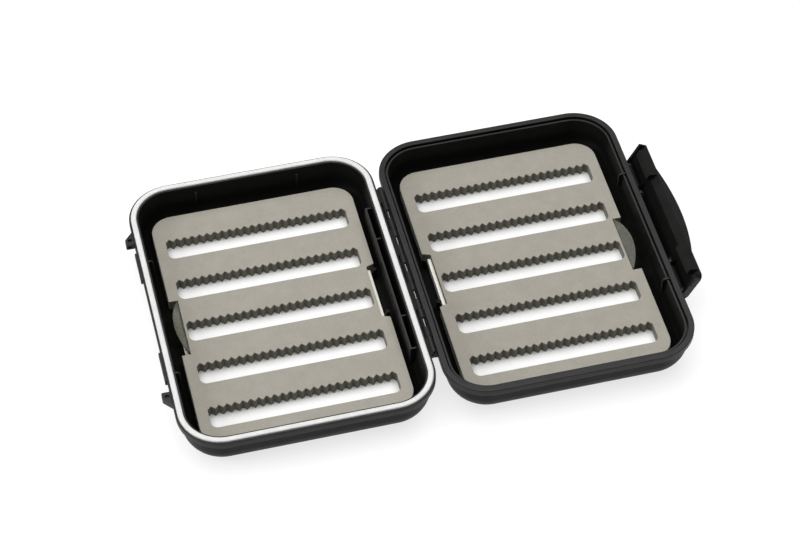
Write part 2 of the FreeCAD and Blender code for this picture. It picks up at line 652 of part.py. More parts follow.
def make_pull_tab():
    """D-shaped tab on the free side: a leg on the plate, then a flap that rises to its bowed edge."""
    root = -FOAM_WIDTH / 2 + TAB_NOTCH_DEPTH
    leg, tip = root - TAB_THICKNESS, root - TAB_REACH
    half = TAB_HALF_LENGTH
    rise_top = FOAM_TOP + TAB_RISE
    side = [(root, FOAM_BOTTOM), (root, FOAM_TOP), (tip, rise_top), (tip, rise_top - TAB_THICKNESS),
            (leg, FOAM_TOP - TAB_THICKNESS), (leg, FOAM_BOTTOM)]
    bent = profile_y(side, -half, half)
    z = FOAM_BOTTOM
    arc = Part.Arc(Vec(leg, -half, z), Vec(tip, 0, z), Vec(leg, half, z)).toShape()
    straight = [Vec(leg, half, z), Vec(root, half, z), Vec(root, -half, z), Vec(leg, -half, z)]
    plan = Part.Wire([arc] + [Part.makeLine(a, b) for a, b in zip(straight[:-1], straight[1:])])
    return bent.common(Part.Face(plan).extrude(Vec(0, 0, rise_top - z)))


def make_all():
    """Every piece under its node name."""
    plate, foam, tab = make_insert_plate(), make_foam(), make_pull_tab()
    return {
        "base_tray": make_base_tray(),
        "lid_tray": make_lid_tray(),
        "rim_gasket": make_rim_gasket(),
        "hinge_pin": make_hinge_pin(),
        "latch_lever": make_latch_lever(),
        "latch_pin_far": make_latch_pin(1),
        "latch_pin_near": make_latch_pin(-1),
        "base_insert_plate": plate,
        "base_foam": foam,
        "base_pull_tab": tab,
        "lid_insert_plate": on_lid(plate),
        "lid_foam": on_lid(foam),
        "lid_pull_tab": on_lid(tab),
    }


os.makedirs("parts", exist_ok=True)
for node, shape in make_all().items():
    print(node, shape.isValid(), len(shape.Solids), round(shape.Volume, 2))
    shape.exportStep("parts/" + node + ".step")
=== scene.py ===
"""Pocket fly box, open flat on a pale floor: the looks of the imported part.

All sizes are in millimetres and become metres when a mesh is written. +Z is up, the hinge runs along Y on the
+X side of the base tray, and the lid lies beyond it.
"""
import enum
import logging
import math
from dataclasses import dataclass, field
from typing import Iterable, Sequence

import bmesh
import bpy
from mathutils import Matrix, Vector


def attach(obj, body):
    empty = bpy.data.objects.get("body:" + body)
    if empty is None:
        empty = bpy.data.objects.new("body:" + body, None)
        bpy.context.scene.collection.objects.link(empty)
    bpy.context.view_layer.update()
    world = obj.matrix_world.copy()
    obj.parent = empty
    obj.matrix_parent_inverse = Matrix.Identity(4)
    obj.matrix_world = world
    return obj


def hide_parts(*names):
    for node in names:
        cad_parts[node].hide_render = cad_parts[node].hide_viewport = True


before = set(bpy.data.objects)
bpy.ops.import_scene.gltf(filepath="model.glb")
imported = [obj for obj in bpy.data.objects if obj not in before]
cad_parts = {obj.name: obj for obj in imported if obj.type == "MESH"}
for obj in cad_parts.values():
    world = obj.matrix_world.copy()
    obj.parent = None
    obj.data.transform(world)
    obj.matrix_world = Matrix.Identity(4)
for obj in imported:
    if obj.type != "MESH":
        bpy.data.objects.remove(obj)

LOG = logging.getLogger("fly_box")
MM = 0.001
OVERRUN = 1.0
WELD = 1e-3
FLIP_Y = Matrix.Scale(-1, 4, (0, 1, 0))

Point2 = tuple[float, float]
Point3 = tuple[float, float, float]
Colour = tuple[float, float, float]
Mesh = bpy.types.Mesh
Object = bpy.types.Object
Material = bpy.types.Material
Node = bpy.types.Node
Socket = bpy.types.NodeSocket


class Join(enum.Enum):
    """How two closed solids are combined."""

    UNION = "UNION"
    CUT = "DIFFERENCE"
    COMMON = "INTERSECT"


class Side(enum.Enum):
    """The half of the box that a piece belongs to."""

    BASE = "base"
    LID = "lid"


# Meshes


def discard(obj: Object) -> None:
    """Remove a helper object and its mesh.

    Args:
        obj: The helper object.
    """
    mesh = obj.data
    bpy.data.objects.remove(obj)
    if mesh is not None and mesh.users == 0:
        bpy.data.meshes.remove(mesh)


def helper(mesh: Mesh) -> Object:
    """Link a mesh into the scene for one evaluation.

    Args:
        mesh: The mesh to show.

    Returns:
        The linked helper object.
    """
    obj = bpy.data.objects.new("helper", mesh)
    bpy.context.scene.collection.objects.link(obj)
    return obj


def evaluated(obj: Object) -> Mesh:
    """New plain mesh of an object with its modifiers applied."""
    graph = bpy.context.evaluated_depsgraph_get()
    return bpy.data.meshes.new_from_object(obj.evaluated_get(graph))


def outward(mesh: Mesh, cap: bool = False) -> Mesh:
    """Weld a mesh and turn the faces of its closed shells outwards.

    Args:
        mesh: Mesh that is changed in place.
        cap: Whether open loops get a face first.

    Returns:
        The same mesh.
    """
    bm = bmesh.new()
    bm.from_mesh(mesh)
    bmesh.ops.remove_doubles(bm, verts=bm.verts, dist=WELD * MM)
    if cap:
        bmesh.ops.holes_fill(bm, edges=[e for e in bm.edges if e.is_boundary], sides=0)
    bmesh.ops.recalc_face_normals(bm, faces=bm.faces)
    bm.to_mesh(mesh)
    bm.free()
    return mesh


def loft(low: Sequence[Vector], high: Sequence[Vector]) -> Mesh:
    """Closed solid between two loops with the same number of corners.

    Args:
        low: Corners of the first cap, in millimetres.
        high: Corners of the second cap, in millimetres.

    Returns:
        The closed mesh, in metres.
    """
    count = len(low)
    points = [p * MM for p in (*low, *high)]
    sides = [(k, (k + 1) % count, count + (k + 1) % count, count + k) for k in range(count)]
    caps = [tuple(reversed(range(count))), tuple(range(count, 2 * count))]
    mesh = bpy.data.meshes.new("loft")
    mesh.from_pydata(points, [], sides + caps)
    return outward(mesh)


def prism(corners: Sequence[Vector], travel: Vector) -> Mesh:
    """Closed solid of one loop moved along a vector."""
    return loft(corners, [c + travel for c in corners])


def prism_z(plan: Iterable[Point2], z0: float, z1: float) -> Mesh:
    """Closed (x, y) plan carried upwards."""
    return prism([Vector((x, y, z0)) for x, y in plan], Vector((0, 0, z1 - z0)))


def block(x0: float, x1: float, y0: float, y1: float, z0: float, z1: float) -> Mesh:
    """Rectangular solid between corner values."""
    return prism_z([(x0, y0), (x1, y0), (x1, y1), (x0, y1)], z0, z1)


def profile_y(points: Iterable[Point2], y0: float, y1: float) -> Mesh:
    """Closed (x, z) section carried along Y."""
    return prism([Vector((x, y0, z)) for x, z in points], Vector((0, y1 - y0, 0)))


def circle(radius: float, cx: float, cy: float, steps: int) -> list[Point2]:
    """Points of a circle in its own plane."""
    turns = [2 * math.pi * k / steps for k in range(steps)]
    return [(cx + radius * math.cos(a), cy + radius * math.sin(a)) for a in turns]


def arc(radius: float, cx: float, cy: float, start: float, stop: float, steps: int) -> list[Point2]:
    """Points of an arc in its own plane, its angles in degrees."""
    turns = [math.radians(start + (stop - start) * k / steps) for k in range(steps + 1)]
    return [(cx + radius * math.cos(a), cy + radius * math.sin(a)) for a in turns]


def rod_y(radius: float, x: float, z: float, y0: float, y1: float, steps: int) -> Mesh:
    """Round rod along Y."""
    return profile_y(circle(radius, x, z, steps), y0, y1)


def rod_z(radius: float, x: float, y: float, z0: float, z1: float, steps: int = 40) -> Mesh:
    """Upright round rod."""
    return prism_z(circle(radius, x, y, steps), z0, z1)


def combine(first: Mesh, others: Iterable[Mesh], how: Join) -> Mesh:
    """Join or cut closed solids one after another.

    Args:
        first: The solid that is kept.
        others: The solids that are joined to it or cut from it.
        how: The kind of join.

    Returns:
        The combined mesh.
    """
    mesh = first
    for other in others:
        target, tool = helper(mesh), helper(other)
        step = target.modifiers.new("join", "BOOLEAN")
        step.operation, step.solver, step.object = how.value, "EXACT", tool
        mesh = evaluated(target)
        discard(target)
        discard(tool)
    return mesh


def soften(mesh: Mesh, width: float, segments: int = 2, angle: float = 34.0) -> Mesh:
    """Round the sharp edges of a solid.

    Args:
        mesh: Closed mesh.
        width: Width of the rounding in millimetres.
        segments: Number of faces across a rounded edge.
        angle: Edges that turn by more than this, in degrees, are rounded.

    Returns:
        The rounded mesh.
    """
    obj = helper(mesh)
    edge = obj.modifiers.new("edges", "BEVEL")
    edge.width, edge.segments = width * MM, segments
    edge.limit_method, edge.angle_limit = "ANGLE", math.radians(angle)
    result = evaluated(obj)
    discard(obj)
    return result


def moved(mesh: Mesh, matrix: Matrix) -> Mesh:
    """Carry a mesh by a matrix in metres and keep its faces outward.

    Args:
        mesh: Mesh to carry in place.
        matrix: The motion, which may mirror.

    Returns:
        The same mesh.
    """
    mesh.transform(matrix)
    if matrix.determinant() < 0:
        mesh.flip_normals()
    return mesh


def both_ends(mesh: Mesh) -> list[Mesh]:
    """A mesh at the far end and its mirror image at the near end."""
    return [mesh, moved(mesh.copy(), FLIP_Y)]


def span(side: int, *ends: float) -> list[float]:
    """Two places along Y on the far side, 1, or the near side, -1, in rising order."""
    return sorted(side * y for y in ends)


def rounded(points: Sequence[Point2], radii: Sequence[float], steps: int = 3) -> list[Point2]:
    """Open path with arcs in place of its corners.

    Args:
        points: Corners of the path.
        radii: One radius for each corner, 0 for a sharp one.
        steps: Faces in each arc.

    Returns:
        The points of the rounded path.
    """
    path: list[Point2] = []
    for k, ((x, y), radius) in enumerate(zip(points, radii)):
        if radius <= 0 or k in (0, len(points) - 1):
            path.append((x, y))
            continue
        corner = Vector((x, y))
        back = (Vector(points[k - 1]) - corner).normalized()
        ahead = (Vector(points[k + 1]) - corner).normalized()
        half = back.angle(ahead) / 2
        reach = radius / math.tan(half)
        centre = corner + (back + ahead).normalized() * (radius / math.sin(half))
        start, stop = corner + back * reach - centre, corner + ahead * reach - centre
        for part in range(steps + 1):
            arm = start.slerp(stop, part / steps) * radius
            path.append((centre.x + arm.x, centre.y + arm.y))
    return path


# Node trees that build geometry


class GeometryTree:
    """A geometry node tree with named inputs, made in the script."""

    def __init__(self, name: str, **kinds: str) -> None:
        """Start a tree with a geometry input and output.

        Args:
            name: Name of the tree.
            **kinds: Kinds of its other inputs by name, such as Float, Int, Vector or Material.
        """
        self.group = bpy.data.node_groups.new(name, "GeometryNodeTree")
        ports = self.group.interface
        for way in ("INPUT", "OUTPUT"):
            ports.new_socket(name="Geometry", in_out=way, socket_type="NodeSocketGeometry")
        self.names: dict[str, str] = {}
        for key, kind in kinds.items():
            socket = ports.new_socket(name=key, in_out="INPUT", socket_type=f"NodeSocket{kind}")
            self.names[key] = socket.identifier
        self.inputs = self.group.nodes.new("NodeGroupInput")

    def given(self, name: str) -> Socket:
        """The socket of a named input."""
        return self.inputs.outputs[name]

    def add(self, kind: str, settings: dict[str, object] | None = None, **sockets: object) -> Node:
        """Add a node.

        Args:
            kind: Node type, without its prefix for a geometry node.
            settings: Properties of the node itself.
            **sockets: Values or output sockets for the node's inputs, by name with _ for a space.

        Returns:
            The new node.
        """
        node = self.group.nodes.new(kind if kind.startswith("Shader") else "GeometryNode" + kind)
        for key, value in (settings or {}).items():
            setattr(node, key, value)
        for key, value in sockets.items():
            self.feed(node, key.replace("_", " "), value)
        return node

    def feed(self, node: Node, key: str | int, value: object) -> None:
        """Give an input a value, or link an output socket or several of them to it.

        Args:
            node: The node with the input.
            key: Name or number of the input.
            value: A value, a socket or a list of sockets.
        """
        for one in value if isinstance(value, list) else [value]:
            if isinstance(one, Socket):
                self.group.links.new(one, node.inputs[key])
            else:
                node.inputs[key].default_value = one

    def sum(self, how: str, first: object, second: object) -> Socket:
        """Work out one arithmetic step.

        Args:
            how: Name of the operation.
            first: Number or socket.
            second: Number or socket.

        Returns:
            The socket of the result.
        """
        node = self.add("ShaderNodeMath", {"operation": how})
        self.feed(node, 0, first)
        self.feed(node, 1, second)
        return node.outputs[0]

    def vector(self, x: object = 0.0, y: object = 0.0, z: object = 0.0) -> Socket:
        """Vector of three numbers or sockets."""
        return self.add("ShaderNodeCombineXYZ", X=x, Y=y, Z=z).outputs[0]

    def shift(self, geometry: Socket, x: object = 0.0, y: object = 0.0, z: object = 0.0) -> Socket:
        """The geometry moved by three numbers or sockets."""
        return self.add("SetPosition", Geometry=geometry, Offset=self.vector(x, y, z)).outputs[0]

    def rectangle(self, width: object, length: object, corner: object, steps: object) -> Socket:
        """Closed curve of a rectangle with rounded corners, all its sizes numbers or sockets.

        Args:
            width: Size along X.
            length: Size along Y.
            corner: Radius of the corners.
            steps: Faces round each corner.

        Returns:
            The socket of the curve.
        """
        plan = self.add("CurvePrimitiveQuadrilateral", {"mode": "RECTANGLE"}, Width=width, Height=length)
        return self.add("FilletCurve", {"mode": "POLY"}, Curve=plan.outputs[0], Radius=corner,
                        Count=steps).outputs[0]

    def line(self, count: object, start: object, step: object) -> Socket:
        """Row of points from a start at even steps, as numbers, vectors or sockets."""
        return self.add("MeshLine", {"mode": "OFFSET"}, Count=count, Start_Location=start,
                        Offset=step).outputs[0]

    def copies(self, points: Socket, part: Socket) -> Socket:
        """One part repeated at points, as instances."""
        return self.add("InstanceOnPoints", Points=points, Instance=part).outputs[0]

    def solid(self, face: Socket, height: object, whole: bool = False) -> Socket:
        """Closed solid of a plane mesh.

        Args:
            face: The mesh, facing up.
            height: Height above the mesh, a number or a socket.
            whole: Whether the mesh's faces rise as one.

        Returns:
            The geometry socket of the solid.
        """
        high = self.add("ExtrudeMesh", Mesh=face, Offset=self.vector(0.0, 0.0, 1.0), Offset_Scale=height,
                        Individual=not whole)
        low = self.add("FlipFaces", Mesh=face).outputs[0]
        both = self.add("JoinGeometry", Geometry=[high.outputs[0], low]).outputs[0]
        return self.add("MergeByDistance", Geometry=both, Distance=WELD * MM).outputs[0]

    def slab(self, curve: Socket, height: object) -> Socket:
        """Closed solid of a closed plane curve."""
        return self.solid(self.add("FillCurve", {"mode": "NGONS"}, Curve=curve).outputs[0], height)

    def close(self, geometry: Socket) -> None:
        """End the tree: make instances real, set the material and hand out the result.

        Args:
            geometry: The finished geometry.
        """
        real = self.add("RealizeInstances", Geometry=geometry).outputs[0]
        dressed = self.add("SetMaterial", Geometry=real, Material=self.given("Material")).outputs[0]
        self.group.links.new(dressed, self.group.nodes.new("NodeGroupOutput").inputs[0])

    def run(self, mesh: Mesh, **values: object) -> Mesh:
        """Evaluate the tree once on a mesh.

        Args:
            mesh: The input mesh.
            **values: Values of the named inputs.

        Returns:
            The resulting plain mesh.
        """
        obj = helper(mesh)
        step = obj.modifiers.new("tree", "NODES")
        step.node_group = self.group
        for name, value in values.items():
            step[self.names[name]] = value
        result = evaluated(obj)
        obj.modifiers.remove(step)
        discard(obj)
        return result


def rim_sweep_tree() -> GeometryTree:
    """Tree that carries a section round a rectangle with rounded corners.

    Returns:
        The tree. Its section's X points outward and its Y points down.
    """
    tree = GeometryTree("rim_sweep", Width="Float", Length="Float", Corner="Float", Steps="Int",
                        Material="Material")
    path = tree.rectangle(*(tree.given(name) for name in ("Width", "Length", "Corner", "Steps")))
    level = tree.add("SetCurveNormal", {"mode": "Z_UP"}, Curve=path).outputs[0]
    section = tree.add("MeshToCurve", Mesh=tree.given("Geometry")).outputs[0]
    tree.close(tree.add("CurveToMesh", Curve=level, Profile_Curve=section).outputs[0])
    return tree


def row_tree() -> GeometryTree:
    """Tree that repeats a solid along a line.

    Returns:
        The tree with its count, start and step inputs.
    """
    tree = GeometryTree("row", Count="Int", Start="Vector", Step="Vector", Material="Material")
    line = tree.line(*(tree.given(name) for name in ("Count", "Start", "Step")))
    tree.close(tree.copies(line, tree.given("Geometry")))
    return tree


def serration(tree: GeometryTree, width: Socket, body: Socket, height: Socket) -> Socket:
    """Solid over the far half of a slot, with even notches in its far edge.

    Args:
        tree: The sheet's tree, which gives the notches.
        width: Width of the slot.
        body: Depth of the slot without its notches.
        height: Height of the solid.

    Returns:
        The geometry socket of the solid.
    """
    given, calc = tree.given, tree.sum
    columns = calc("ADD", calc("MULTIPLY", given("Teeth"), 2.0), 1.0)
    strip = tree.add("MeshGrid", Size_X=width, Size_Y=calc("MULTIPLY", body, 0.5), Vertices_X=columns,
                     Vertices_Y=2)
    place = tree.add("ShaderNodeSeparateXYZ", Vector=tree.add("InputPosition").outputs[0]).outputs
    half_pitch = calc("DIVIDE", given("Half"), given("Teeth"))
    column = calc("ROUND", calc("DIVIDE", calc("ADD", place[0], given("Half")), half_pitch), 0.0)
    odd = calc("ROUND", calc("FLOORED_MODULO", column, 2.0), 0.0)
    far = calc("GREATER_THAN", place[1], 0.0)
    notch = calc("MULTIPLY", calc("MULTIPLY", odd, far), given("Notch"))
    zigzag = tree.shift(strip.outputs[0], y=calc("ADD", notch, calc("MULTIPLY", body, 0.75)))
    return tree.solid(zigzag, height, whole=True)


def slotted_sheet_tree(corner_steps: int = 14, slot_steps: int = 7) -> GeometryTree:
    """Tree that cuts rows of serrated slots in a sheet with rounded corners.

    Args:
        corner_steps: Faces round each corner of the sheet.
        slot_steps: Faces round each corner of a slot.

    Returns:
        The tree. The incoming geometry is cut away too.
    """
    tree = GeometryTree("slotted_sheet", Width="Float", Length="Float", Corner="Float", Thickness="Float",
                        Bottom="Float", Slots="Int", First="Float", Spacing="Float", Half="Float",
                        Depth="Float", Notch="Float", Teeth="Int", Slot_Corner="Float", Material="Material")
    given, calc = tree.given, tree.sum
    outline = tree.rectangle(given("Width"), given("Length"), given("Corner"), corner_steps)
    sheet = tree.shift(tree.slab(outline, given("Thickness")), z=given("Bottom"))
    height = calc("MULTIPLY", given("Thickness"), 3.0)
    width = calc("MULTIPLY", given("Half"), 2.0)
    body = calc("SUBTRACT", given("Depth"), given("Notch"))
    hole = tree.slab(tree.rectangle(width, body, given("Slot_Corner"), slot_steps), height)
    near = tree.shift(hole, y=calc("MULTIPLY", body, 0.5))
    start = tree.vector(0.0, given("First"), calc("SUBTRACT", given("Bottom"), given("Thickness")))
    step = tree.vector(0.0, calc("MULTIPLY", given("Spacing"), -1.0), 0.0)
    places = tree.line(given("Slots"), start, step)
    rows = [tree.add("RealizeInstances", Geometry=tree.copies(places, part)).outputs[0]
            for part in (near, serration(tree, width, body, height))]
    cut = tree.add("MeshBoolean", {"operation": "DIFFERENCE", "solver": "EXACT"})
    tree.feed(cut, "Mesh 1", sheet)
    tree.feed(cut, "Mesh 2", [*rows, given("Geometry")])
    tree.close(cut.outputs[0])
    return tree


# Finishes


class ShaderTree:
    """The node tree of one material, read in object coordinates."""

    def __init__(self, name: str) -> None:
        """Start a material with its surface shader.

        Args:
            name: Name of the material.
        """
        self.material = bpy.data.materials.new(name)
        self.material.use_nodes = True
        self.tree = self.material.node_tree
        self.surface = self.tree.nodes["Principled BSDF"]
        self.place = self.tree.nodes.new("ShaderNodeTexCoord").outputs["Object"]

    def add(self, kind: str, settings: dict[str, object] | None = None,
            sockets: dict[str | int, object] | None = None) -> Node:
        """Add a shader node.

        Args:
            kind: Node type without its ShaderNode prefix.
            settings: Properties of the node itself.
            sockets: Values or output sockets for its inputs.

        Returns:
            The new node.
        """
        node = self.tree.nodes.new("ShaderNode" + kind)
        for key, value in (settings or {}).items():
            setattr(node, key, value)
        for key, value in (sockets or {}).items():
            if isinstance(value, Socket):
                self.tree.links.new(value, node.inputs[key])
            else:
                node.inputs[key].default_value = value
        return node

    def calc(self, how: str, *terms: object) -> Socket:
        """Result of one arithmetic step on numbers or sockets."""
        return self.add("Math", {"operation": how}, dict(enumerate(terms))).outputs[0]

    def mixed(self, first: Socket, second: Socket, share: float) -> Socket:
        """Two grey patterns added up, the first with its share and the second with the rest."""
        return self.calc("MULTIPLY_ADD", first, share, self.calc("MULTIPLY", second, 1.0 - share))

    def noise(self, grain_mm: float, detail: float = 3.0, rough: float = 0.55) -> Socket:
        """Grey noise whose cells are about grain_mm across."""
        sockets = {"Vector": self.place, "Scale": 1.0 / (grain_mm * MM), "Detail": detail, "Roughness": rough}
        return self.add("TexNoise", {}, sockets).outputs["Fac"]

    def spread(self, value: Socket, low: float = 0.0, high: float = 1.0, start: float = 0.3, stop: float = 0.7
               ) -> Socket:
        """Stretch the middle of a grey value over a range."""
        return self.add("MapRange", {}, {"Value": value, "From Min": start, "From Max": stop, "To Min": low,
                                         "To Max": high}).outputs["Result"]

    def blend(self, amount: Socket, first: Colour | Socket, second: Colour | Socket) -> Socket:
        """Colour between two, each a colour or a socket, by a grey amount."""
        ends = [end if isinstance(end, Socket) else (*end, 1.0) for end in (first, second)]
        return self.add("Mix", {"data_type": "RGBA"}, {0: amount, 6: ends[0], 7: ends[1]}).outputs[2]

    def bump(self, height: Socket, depth_mm: float, under: Socket | None = None) -> Socket:
        """Bend the surface normal by a height pattern.

        Args:
            height: The pattern.
            depth_mm: How deep it is.
            under: Another bump's normal, which this one goes on.

        Returns:
            The socket of the normal.
        """
        sockets: dict[str | int, object] = {"Height": height, "Distance": depth_mm * MM, "Strength": 1.0}
        if under is not None:
            sockets["Normal"] = under
        return self.add("Bump", {}, sockets).outputs["Normal"]

    def set(self, **sockets: object) -> None:
        """Set or link inputs of the surface shader.

        Args:
            **sockets: Values or sockets by input name with _ for a space.
        """
        for key, value in sockets.items():
            socket = self.surface.inputs[key.replace("_", " ")]
            if isinstance(value, Socket):
                self.tree.links.new(value, socket)
            else:
                socket.default_value = (*value, 1.0) if socket.type == "RGBA" and len(value) == 3 else value


@dataclass(frozen=True)
class MouldedPlastic:
    """Satin injection-moulded plastic with a fine spark-eroded grain."""

    name: str
    dark: Colour
    light: Colour
    rough: Point2
    grain: float = 0.16
    depth: float = 0.004
    gloss: float = 0.5
    cloud: float = 9.0
    wave: float = 3.2
    grain_share: float = 0.6

    def make(self) -> Material:
        """Build the material.

        Returns:
            The finished material.
        """
        shader = ShaderTree(self.name)
        cloud = shader.noise(self.cloud, 4.0)
        fine = shader.noise(self.grain, 2.0, 0.5)
        wave = shader.noise(self.wave, 2.0)
        shader.set(Base_Color=shader.blend(shader.spread(cloud), self.dark, self.light),
                   Roughness=shader.spread(shader.mixed(fine, wave, self.grain_share), *self.rough), IOR=1.49,
                   Specular_IOR_Level=self.gloss, Normal=shader.bump(fine, self.depth))
        return shader.material


@dataclass(frozen=True)
class CellFoam:
    """Closed-cell foam: a skin with fine cells and a soft colour drift; below the skin height the faces are
    darker, partly their own cut tone and partly painted shade of the slot walls.
    """

    name: str = "foam_olive_cells"
    dark: Colour = (0.264, 0.247, 0.207)
    light: Colour = (0.360, 0.338, 0.292)
    # Colour below the skin: partly the cut cells' own tone, partly painted shade of the slot walls.
    cut: Colour = (0.118, 0.112, 0.082)
    skin: Point2 = (6.45, 6.8)
    cell: float = 0.34
    grain: float = 0.22
    cloud: float = 6.0
    grain_share: float = 0.75
    depth: float = 0.05

    def make(self) -> Material:
        """Build the material.

        Returns:
            The finished material.
        """
        shader = ShaderTree(self.name)
        sockets = {"Vector": shader.place, "Scale": 1.0 / (self.cell * MM)}
        cells = shader.add("TexVoronoi", {"feature": "F1"}, sockets).outputs["Distance"]
        fine = shader.noise(self.grain, 3.0, 0.6)
        tone = shader.mixed(fine, shader.noise(self.cloud, 4.0, 0.6), self.grain_share)
        skin = shader.blend(shader.spread(tone, start=0.34, stop=0.66), self.dark, self.light)
        height = shader.add("SeparateXYZ", {}, {"Vector": shader.place}).outputs["Z"]
        low, high = (z * MM for z in self.skin)
        # Below the skin height the foam takes the darker cut colour: partly real cut faces, partly painted
        # shade on the slot walls.
        colour = shader.blend(shader.spread(height, start=low, stop=high), self.cut, skin)
        normal = shader.bump(fine, self.depth, shader.bump(cells, self.depth / 2))
        shader.set(Base_Color=colour, Roughness=shader.spread(fine, 0.86, 0.97), IOR=1.4, Sheen_Weight=0.12,
                   Sheen_Roughness=0.6, Normal=normal)
        return shader.material


@dataclass(frozen=True)
class SoftRubber:
    """Matt white gasket rubber."""

    name: str = "gasket_white_rubber"
    dark: Colour = (0.63, 0.635, 0.625)
    light: Colour = (0.69, 0.695, 0.685)
    grain: float = 0.25
    cloud: float = 5.0
    depth: float = 0.006

    def make(self) -> Material:
        """Build the material.

        Returns:
            The finished material.
        """
        shader = ShaderTree(self.name)
        fine = shader.noise(self.grain, 2.0)
        shader.set(Base_Color=shader.blend(shader.spread(shader.noise(self.cloud)), self.dark, self.light),
                   Roughness=shader.spread(fine, 0.42, 0.6), IOR=1.43, Subsurface_Weight=0.15,
                   Subsurface_Scale=MM, Subsurface_Radius=(1.0, 0.9, 0.8),
                   Normal=shader.bump(fine, self.depth))
        return shader.material


@dataclass(frozen=True)
class DrawnSteel:
    """Drawn steel pin with fine lines along its length."""

    name: str = "pin_drawn_steel"
    dark: Colour = (0.15, 0.15, 0.145)
    light: Colour = (0.28, 0.28, 0.275)
    line: float = 0.06
    stretch: Point3 = (1.0, 0.03, 1.0)
    depth: float = 0.0015

    def make(self) -> Material:
        """Build the material.

        Returns:
            The finished material.
        """
        shader = ShaderTree(self.name)
        drawn = shader.add("Mapping", {}, {"Vector": shader.place, "Scale": self.stretch}).outputs[0]
        sockets = {"Vector": drawn, "Scale": 1.0 / (self.line * MM), "Detail": 2.0}
        lines = shader.add("TexNoise", {}, sockets).outputs["Fac"]
        shader.set(Base_Color=shader.blend(shader.spread(lines), self.dark, self.light), Metallic=1.0,
                   Roughness=shader.spread(lines, 0.18, 0.34), Normal=shader.bump(lines, self.depth))
        return shader.material


@dataclass(frozen=True)
class FrostedFilm:
    """Thin translucent film with a frosted skin."""

    name: str = "tab_frosted_film"
    dark: Colour = (0.62, 0.62, 0.52)
    light: Colour = (0.74, 0.74, 0.64)
    grain: float = 0.3
    cloud: float = 4.0
    depth: float = 0.006

    def make(self) -> Material:
        """Build the material.

        Returns:
            The finished material.
        """
        shader = ShaderTree(self.name)
        fine = shader.noise(self.grain)
        cloud = shader.noise(self.cloud, 2.0)
        shader.set(Base_Color=shader.blend(shader.spread(cloud), self.dark, self.light),
                   Roughness=shader.spread(fine, 0.22, 0.36), IOR=1.46, Transmission_Weight=0.92,
                   Normal=shader.bump(fine, self.depth))
        return shader.material


CASE_BLACK = MouldedPlastic("case_black_satin", (0.0045, 0.0045, 0.0042), (0.009, 0.009, 0.0085), (0.36, 0.5),
                            gloss=0.33)
# Same black plastic as the case, made darker and duller: its darker colour is painted shade on the walls
# inside the trays, under the rim and behind the latch plate.
WALL_SHADE_BLACK = MouldedPlastic("case_black_wall_shade", (0.0018, 0.0018, 0.0016), (0.0034, 0.0034, 0.0031),
                            (0.4, 0.56), gloss=0.15)
LATCH_BLACK = MouldedPlastic("latch_black_satin", (0.0045, 0.0045, 0.0042), (0.0085, 0.0085, 0.008),
                             (0.28, 0.42), gloss=0.33)
PLATE_WHITE = MouldedPlastic("plate_white", (0.78, 0.78, 0.775), (0.82, 0.82, 0.82), (0.4, 0.55), 0.2, 0.003)
RAIL_CREAM = MouldedPlastic("rail_cream", (0.85, 0.83, 0.74), (0.91, 0.895, 0.81), (0.38, 0.5), 0.2, 0.003)


@dataclass
class Finishes:
    """Every finish of the box, made once."""

    case: Material = field(default_factory=CASE_BLACK.make)
    # Darker copy of the case plastic that paints shade on walls, low posts and pads, and behind the latch
    # plate.
    walls: Material = field(default_factory=WALL_SHADE_BLACK.make)
    latch: Material = field(default_factory=LATCH_BLACK.make)
    plate: Material = field(default_factory=PLATE_WHITE.make)
    rail: Material = field(default_factory=RAIL_CREAM.make)
    foam: Material = field(default_factory=CellFoam().make)
    gasket: Material = field(default_factory=SoftRubber().make)
    steel: Material = field(default_factory=DrawnSteel().make)
    film: Material = field(default_factory=FrostedFilm().make)


# Pieces


def gather(name: str, parts: Sequence[tuple[Mesh, Material]], sharp: float = 38.0) -> Object:
    """One object of several meshes, each with its own finish.

    Args:
        name: Name of the piece.
        parts: Meshes in metres with their materials.
        sharp: Edges that turn by more than this, in degrees, stay crisp.

    Returns:
        The object at the origin, with its place in its mesh.
    """
    materials: list[Material] = []
    bm = bmesh.new()
    for mesh, material in parts:
        if material not in materials:
            materials.append(material)
        start = len(bm.faces)
        bm.from_mesh(mesh)
        bm.faces.ensure_lookup_table()
        for face in bm.faces[start:]:
            face.material_index = materials.index(material)
            face.smooth = True
    mesh = bpy.data.meshes.new(name)
    bm.to_mesh(mesh)
    bm.free()
    for material in materials:
        mesh.materials.append(material)
    mesh.set_sharp_from_angle(angle=math.radians(sharp))
    obj = bpy.data.objects.new(name, mesh)
    bpy.context.scene.collection.objects.link(obj)
    weight = obj.modifiers.new("normals", "WEIGHTED_NORMAL")
    weight.keep_sharp = True
    finished = evaluated(obj)
    obj.modifiers.remove(weight)
    obj.data = finished
    finished.name = name
    return obj


def place(piece: Object, body: str, slot: str, *nodes: str) -> Object:
    """Hang a finished piece on its body and let it stand for its nodes.

    Args:
        piece: The finished object.
        body: The body that it rides on.
        slot: The record's material slot; not used.
        *nodes: The nodes that it stands for.

    Returns:
        The same object.
    """
    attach(piece, body)
    if nodes:
        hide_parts(*nodes)
    LOG.info("%s rides on %s: %d faces", piece.name, body, len(piece.data.polygons))
    return piece


